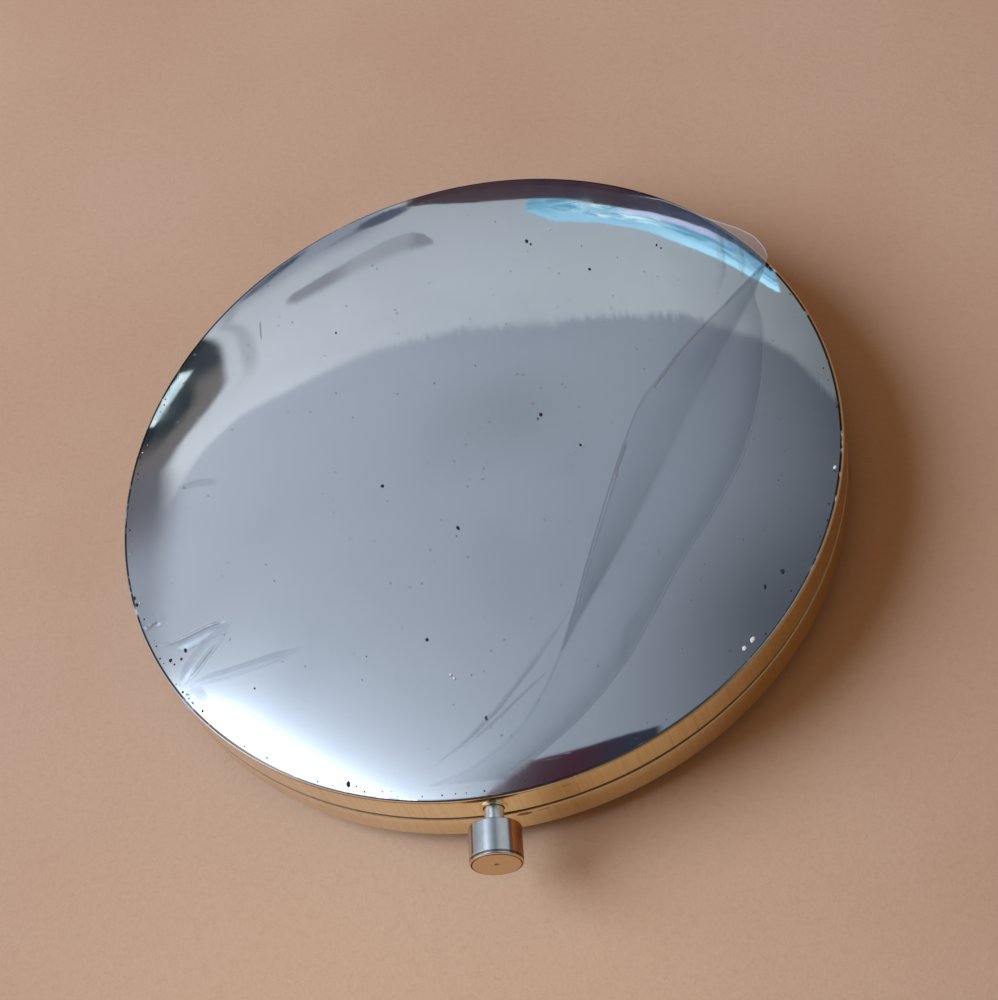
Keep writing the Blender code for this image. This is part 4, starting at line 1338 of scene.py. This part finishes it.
def grains(name, places, finish, seed):
    """Grains at listed places, each a low uneven lump a little longer than it is wide."""
    shuffle = np.random.default_rng(seed)
    bells = []
    for x, y, radius in places:
        strokes = path(None, dome(radius * MM, radius * grain_flatness * MM, 0.0, 5), (0, 0))
        bell = turned("bell", strokes, 14)
        for vertex in bell.data.vertices:
            vertex.co.x *= 1 + grain_unevenness * shuffle.uniform(-1, 1)
            vertex.co.y *= 1 + grain_unevenness * shuffle.uniform(-1, 1)
        stretch = Matrix.Diagonal((shuffle.uniform(0.65, 0.9), shuffle.uniform(0.9, 1.25), 1.0, 1.0))
        height = float(lid_top(np.array(x * MM), np.array(y * MM))) + film_gap
        bell.data.transform(Matrix.Translation((x * MM, y * MM, height))
                            @ Matrix.Rotation(shuffle.uniform(-0.6, 0.6), 4, "Z") @ stretch)
        bell.data.shade_smooth()
        bells.append(bell)
    return dress(joined(name, *bells), finish, "lid", "clear_film")


grains("film_grit", dark_places, dust_specks, 11)
grains("film_flecks", pale_places, pale_specks, 12)

# Table and light: a large sheet of plain pale tan paper, one soft window light from the upper left,
# and a room whose pale wall, grey ceiling and dark far end the polished lid reflects.
paper_reach = 1.4
paper_sink = 0.02 * MM


def paper_finish():
    """Smooth wrapping paper: a pale tan with fine fibres and faint clouds, and a painted pool of light in
    front of the mirror.
    """
    finish = Finish("tan_paper")
    spot = finish.place()
    fibres = finish.noise(finish.place(900.0, 1500.0, 900.0), 1.0, 4.0, 0.7)
    grain = finish.noise(spot, 2600.0, 2.0, 0.6)
    cloud = finish.noise(spot, 28.0, 3.0)
    tint = finish.mix(colour(194, 162, 143), colour(189, 155, 134), cloud.between(0.3, 0.7))
    across, along, _ = finish.axes(spot)
    # a paler, warmer patch on the paper in front of the mirror: a painted pool of light, for the light that
    # the chrome wall throws onto it
    near = ((across + 0.008) ** 2.0 + (along + 0.054) ** 2.0) ** 0.5
    tint = finish.mix(tint, colour(212, 178, 152), near.between(0.060, 0.010) * 0.65)
    tint = finish.mix(tint, colour(160, 124, 99),
                      fibres.between(0.45, 0.75) * 0.14 + grain.between(0.5, 0.8) * 0.10)
    uneven = finish.bump(fibres, 0.00004, below=finish.bump(grain, 0.00002))
    return finish.end(finish.principled(Base_Color=tint, Roughness=0.82 + grain * 0.1, Normal=uneven))


corners = [(x * paper_reach, y * paper_reach, -paper_sink) for x, y in ((-1, -1), (1, -1), (1, 1), (-1, 1))]
paper = new_piece("paper", corners, [(0, 1, 2, 3)])
paper.data.materials.append(paper_finish())

room = bpy.data.worlds.new("room")
bpy.context.scene.world = room
light = Finish("room", room)
way = light.node("TexCoord", output="Generated")
side, far, height = light.axes(way)
steep = height.most(0.1)
u = side / steep
v = far / steep
shiver = light.noise(way, 9.0, 3.0, 0.6) - 0.5
streak_way = {"Vector": way, "Rotation": (0, 0, 0.9), "Scale": (260.0, 34.0, 30.0)}
streaks = light.noise(light.node("Mapping", {}, streak_way), 1.0, 3.0, 0.6) - 0.5
plate_share = 0.60


def radiance(red, green, blue):
    """The light of which the chrome, once it has taken its share, shows this colour."""
    return tuple(channel / plate_share for channel in colour(red, green, blue)[:3]) + (1.0,)


def bent(wire, *corners):
    """A line with corners: its height at some places along a wire, and level beyond the first and last."""
    height = corners[0][1]
    for (start, low), (stop, high) in zip(corners, corners[1:]):
        height = wire.share(start, stop) * (high - low) + height
    return height


# the grey ceiling darkens to the right and near by, the pale wall over it starts at a streaky edge
ceiling = light.mix(radiance(130, 139, 151), radiance(173, 182, 195), u.share(0.0, -0.70))
ceiling = light.mix(ceiling, radiance(56, 61, 67), u.share(0.0, 0.30))
ceiling = light.mix(ceiling, radiance(20, 22, 30), v.between(0.62, 0.38) * u.share(-0.09, 0.10) * 0.50)
cloud = (v - 0.76).size().between(0.10, 0.0) * (u + 0.18).size().between(0.12, 0.0)
ceiling = light.mix(ceiling, radiance(104, 110, 120), cloud * 0.28)
wall = light.mix(radiance(188, 196, 204), radiance(163, 172, 179), (u + shiver * 0.04).share(-0.52, 0.03))
wall = light.mix(wall, radiance(108, 116, 120), (u + shiver * 0.04).share(0.03, 0.25))
wall = light.mix(wall, radiance(136, 144, 152), v.share(1.05, 1.50) * 0.6)
wall = light.mix(wall, radiance(212, 220, 228), v.between(1.02, 0.90) * u.between(-0.30, -0.50) * 0.45)
arch = bent(u, (-0.662, 0.800), (-0.631, 0.856), (-0.608, 0.888), (-0.554, 0.925), (-0.353, 0.946),
            (-0.274, 0.942), (-0.163, 0.920), (0.048, 0.909), (0.068, 0.893), (0.145, 0.851), (0.188, 0.809),
            (0.234, 0.726))
brushy = u.between(-0.36, -0.26) * u.between(0.12, 0.04) * 0.8 + 0.2
edge = v - arch + streaks * brushy * 0.062 + shiver * 0.014
paint = light.mix(ceiling, wall, edge.between(-0.012, 0.014))
# a bright blue strip of sky under the dark far end of the room, streaked along its length
low_edge = bent(u, (-0.149, 1.276), (-0.115, 1.231), (-0.049, 1.203), (0.010, 1.165), (0.057, 1.118),
                (0.124, 1.047), (0.191, 0.962))
high_edge = bent(u, (-0.385, 1.466), (-0.337, 1.441), (-0.254, 1.388), (-0.187, 1.360), (-0.154, 1.349),
                 (-0.099, 1.324), (-0.036, 1.272), (0.039, 1.225), (0.112, 1.157), (0.156, 1.094),
                 (0.192, 1.018))
ragged = light.noise(way, 46.0, 3.0, 0.65) - 0.5
into = (v - low_edge + ragged * 0.016) / (high_edge - low_edge)
grain_way = light.node("CombineXYZ", {}, {0: u * 13.0 + into * 0.7, 1: into * 4.5, 2: 0.0})
wisps = light.noise(grain_way, 1.0, 3.0, 0.6, 0.8)
glint_way = light.node("Mapping", {}, {"Vector": grain_way, "Location": (5.0, 9.0, 0.0)})
glints = light.noise(glint_way, 1.6, 3.0, 0.6, 0.6)
cloudy = wisps.between(0.47, 0.58) * into.between(0.15, 0.45)
sky = light.mix(radiance(150, 203, 230), radiance(92, 154, 184), cloudy)
sky = light.mix(sky, radiance(100, 158, 186), u.between(-0.10, -0.15) * wisps.between(0.62, 0.40) * 0.9)
sky = light.mix(sky, radiance(172, 230, 253), into.between(0.40, 0.15) * u.between(0.0, 0.09))
white = glints.between(0.50, 0.58) * into.between(0.25, 0.45) * u.between(-0.12, -0.05)
sky = light.mix(sky, radiance(222, 252, 254), white * u.between(0.07, 0.02))
lilac = into.between(0.70, 0.84) * u.between(-0.03, 0.01) * u.between(0.15, 0.12)
sky = light.mix(sky, radiance(196, 201, 238), lilac)
sky = light.mix(sky, radiance(108, 158, 190), into.between(0.50, 0.75) * u.between(0.11, 0.15) * 0.8)
strip = into.between(-0.03, 0.03) * into.between(1.03, 0.97)
paint = light.mix(paint, sky, strip * (u + ragged * 0.03).between(-0.160, -0.153) * u.between(0.199, 0.193))
far_end = light.mix(radiance(68, 52, 58), radiance(36, 34, 52), (u + shiver).between(-0.2, 0.15))
at_far_end = (v - high_edge + ragged * 0.012).between(-0.003, 0.004)
at_far_end = at_far_end * (u + shiver * 0.15 + streaks * 0.04).between(-0.40, -0.36)
paint = light.mix(paint, far_end, at_far_end)
# a slanting dark thing on the wall, its lower edge faint and its right end hooked, and dark blots beyond
blade_top = bent(u, (-0.541, 1.236), (-0.503, 1.253), (-0.458, 1.274), (-0.415, 1.301), (-0.377, 1.320),
                 (-0.343, 1.319), (-0.320, 1.293), (-0.299, 1.250)) + shiver * 0.012
blade_foot = bent(u, (-0.541, 1.205), (-0.516, 1.183), (-0.462, 1.193), (-0.412, 1.209), (-0.362, 1.222),
                  (-0.300, 1.235))
blade = (v - blade_foot + streaks * 0.012) / (blade_top - blade_foot)
blade = blade.between(-0.10, 0.45) * blade.between(1.08, 0.96)
blade = blade * u.between(-0.549, -0.530) * u.between(-0.294, -0.306)
blade = blade * (u.between(-0.42, -0.47) * 0.40 + u.between(-0.352, -0.325) * 0.40 + 0.42 + shiver * 0.5)
paint = light.mix(paint, radiance(112, 112, 120), blade)
outskirts = ((u * u + v * v) ** 0.5 + shiver * 0.05).between(1.395, 1.50) * u.between(-0.38, -0.46)
paint = light.mix(paint, radiance(122, 128, 142), outskirts * 0.75)
for blot_u, blot_v, long, high, slope, dark in (
        (-0.412, 1.442, 0.048, 0.030, 0.20, 1.00),
        (-0.604, 1.366, 0.052, 0.022, 0.95, 1.00),
        (-0.470, 1.405, 0.036, 0.012, 0.50, 0.35)):
    blot = ((u - blot_u) / long) ** 2.0 + ((v - (u - blot_u) * slope - blot_v + shiver * 0.02) / high) ** 2.0
    paint = light.mix(paint, radiance(70, 78, 94), (blot + streaks * 0.8).between(1.5, 0.4) * dark)
# the dark doorway at the left, brown at its edge, with its faint double and one bright sliver in it
jamb = bent(v, (0.652, -0.662), (0.760, -0.666), (0.819, -0.674), (0.888, -0.692), (0.927, -0.677),
            (0.980, -0.631), (1.022, -0.607), (1.048, -0.608), (1.111, -0.632), (1.172, -0.659),
            (1.204, -0.681), (1.239, -0.714))
soft = v.between(0.95, 0.80)
doorway = ((u - jamb - soft * 0.012 + shiver * 0.03) / (soft * 0.030 + 0.012)).between(1.0, -1.0)
double = (u - jamb - 0.045 + shiver * 0.02).size().between(0.022, 0.004) * v.between(0.98, 1.08)
paint = light.mix(paint, radiance(132, 134, 142), double * 0.45)
door = light.mix(radiance(140, 147, 159), radiance(98, 98, 106), v.between(0.66, 0.84))
door = light.mix(door, radiance(104, 100, 98), v.between(0.86, 0.95))
door = light.mix(door, radiance(38, 47, 52), v.between(0.92, 1.00) * (u - jamb).between(-0.045, -0.080))
door = light.mix(door, radiance(46, 54, 58), v.between(1.06, 1.13))
door = light.mix(door, radiance(150, 145, 140), ragged.between(0.16, 0.26) * v.between(0.98, 1.06) * 0.35)
paint = light.mix(paint, door, doorway)
sliver = ((u + 0.742) * 0.91 - (v - 1.085) * 0.40 + ragged * 0.010).size().between(0.021, 0.014)
sliver = sliver * ((u + 0.742) * 0.40 + (v - 1.085) * 0.91 + ragged * 0.02).size().between(0.066, 0.056)
daylight = light.mix(radiance(196, 226, 234), radiance(232, 248, 250), ragged.between(-0.1, 0.2))
paint = light.mix(paint, daylight, sliver)
# the dark sill near by, and the white window with its glow
sill = light.mix(radiance(64, 41, 52), radiance(46, 49, 62), (u + shiver * 0.05).between(-0.10, -0.05))
sill_top = 0.278 - (-0.155 - u).most(0.0) * 0.6
paint = light.mix(paint, sill, (v - u * 0.10 - sill_top + shiver * 0.008).between(0.002, -0.002)
                  * u.between(-0.008, -0.02))
depth = (u * 0.857 + v) / 1.317
along_sill = u * 0.759 - v * 0.651
near = depth.most(-0.045)
glow = 2.718 ** (near * -11.8) * 0.50 + 2.718 ** (near * -50.0) * 0.35
glow = glow * along_sill.between(-0.84, -0.62) * along_sill.between(-0.24, -0.36)
glow = glow * depth.between(-0.34, -0.22)
glow = light.mix((0.0, 0.0, 0.0, 1.0), (2.1, 2.5, 2.95, 1.0), (glow * 0.4).least(1.0))
paint = light.mix(paint, glow, 1.0, "ADD")
# low down all is dark, a little lighter at both sides and brown over the paper at the right
horizon = light.mix(radiance(52, 52, 58), radiance(92, 96, 104), side.between(0.6, -0.6))
both_sides = side.size().between(0.45, 0.85) * far.between(0.55, 0.25)
horizon = light.mix(horizon, radiance(150, 153, 158), both_sides)
horizon = light.mix(horizon, radiance(138, 100, 72), height.between(0.22, 0.08) * side.between(0.1, 0.5))
paint = light.mix(paint, radiance(146, 154, 159), u.between(0.27, 0.40))
paint = light.mix(paint, radiance(150, 158, 164), u.between(-0.80, -0.92))
paint = light.mix(paint, horizon, height.between(0.40, 0.24))
# the near half of the room is pale, and something dark stands in the middle of it
to_the_right = (side + shiver * 0.2).between(-0.35, 0.45)
behind = light.mix(radiance(196, 202, 210), radiance(124, 131, 142), to_the_right)
dark_middle = u.size().between(1.0, 0.6) * v.between(-1.5, -1.1)
paint = light.mix(paint, behind, (v + shiver * 0.1).between(0.08, -0.22) * (1.0 - dark_middle))
paint = light.mix(paint, radiance(58, 52, 60), (v + shiver * 0.1).between(0.02, -0.15) * dark_middle)
# lamps aside, everything that isn't a reflection gets the warm light of the room
seen = light.node("LightPath", output="Is Camera Ray")
mirrored = light.node("LightPath", output="Is Glossy Ray")
paint = light.mix((0.305, 0.183, 0.090, 1.0), paint, mirrored)
paint = light.mix(paint, colour(226, 221, 214), seen)
backdrop = light.node("Background", {}, {"Color": paint, "Strength": 1.0})
light.node("OutputWorld", {}, {"Surface": backdrop})

lamp_light = bpy.data.lights.new("window_light", "AREA")
lamp_light.shape, lamp_light.size, lamp_light.energy = "DISK", 0.71, 10.0
lamp_light.color = (0.744, 0.889, 1.0)
lamp = bpy.data.objects.new("window_light", lamp_light)
bpy.context.scene.collection.objects.link(lamp)
lamp_way = Vector((-0.775, 0.0, 0.632)).normalized()
lamp.location = lamp_way * 0.85
lamp.rotation_euler = lamp_way.to_track_quat("Z", "Y").to_euler()
lamp.visible_glossy = False

camera_data = bpy.data.cameras.new("camera")
camera_data.lens, camera_data.sensor_width = 72.0, 36.0
camera_data.clip_start = 0.01
camera = bpy.data.objects.new("camera", camera_data)
bpy.context.scene.collection.objects.link(camera)
camera.matrix_world = Matrix(((0.97146383, 0.16972352, 0.16568632, 0.0333462),
                              (-0.050902, 0.83145223, -0.55325959, -0.1080481),
                              (-0.23166142, 0.52903791, 0.81636504, 0.1607643),
                              (0.0, 0.0, 0.0, 1.0)))
bpy.context.scene.camera = camera
bpy.context.scene.view_settings.view_transform = "Standard"
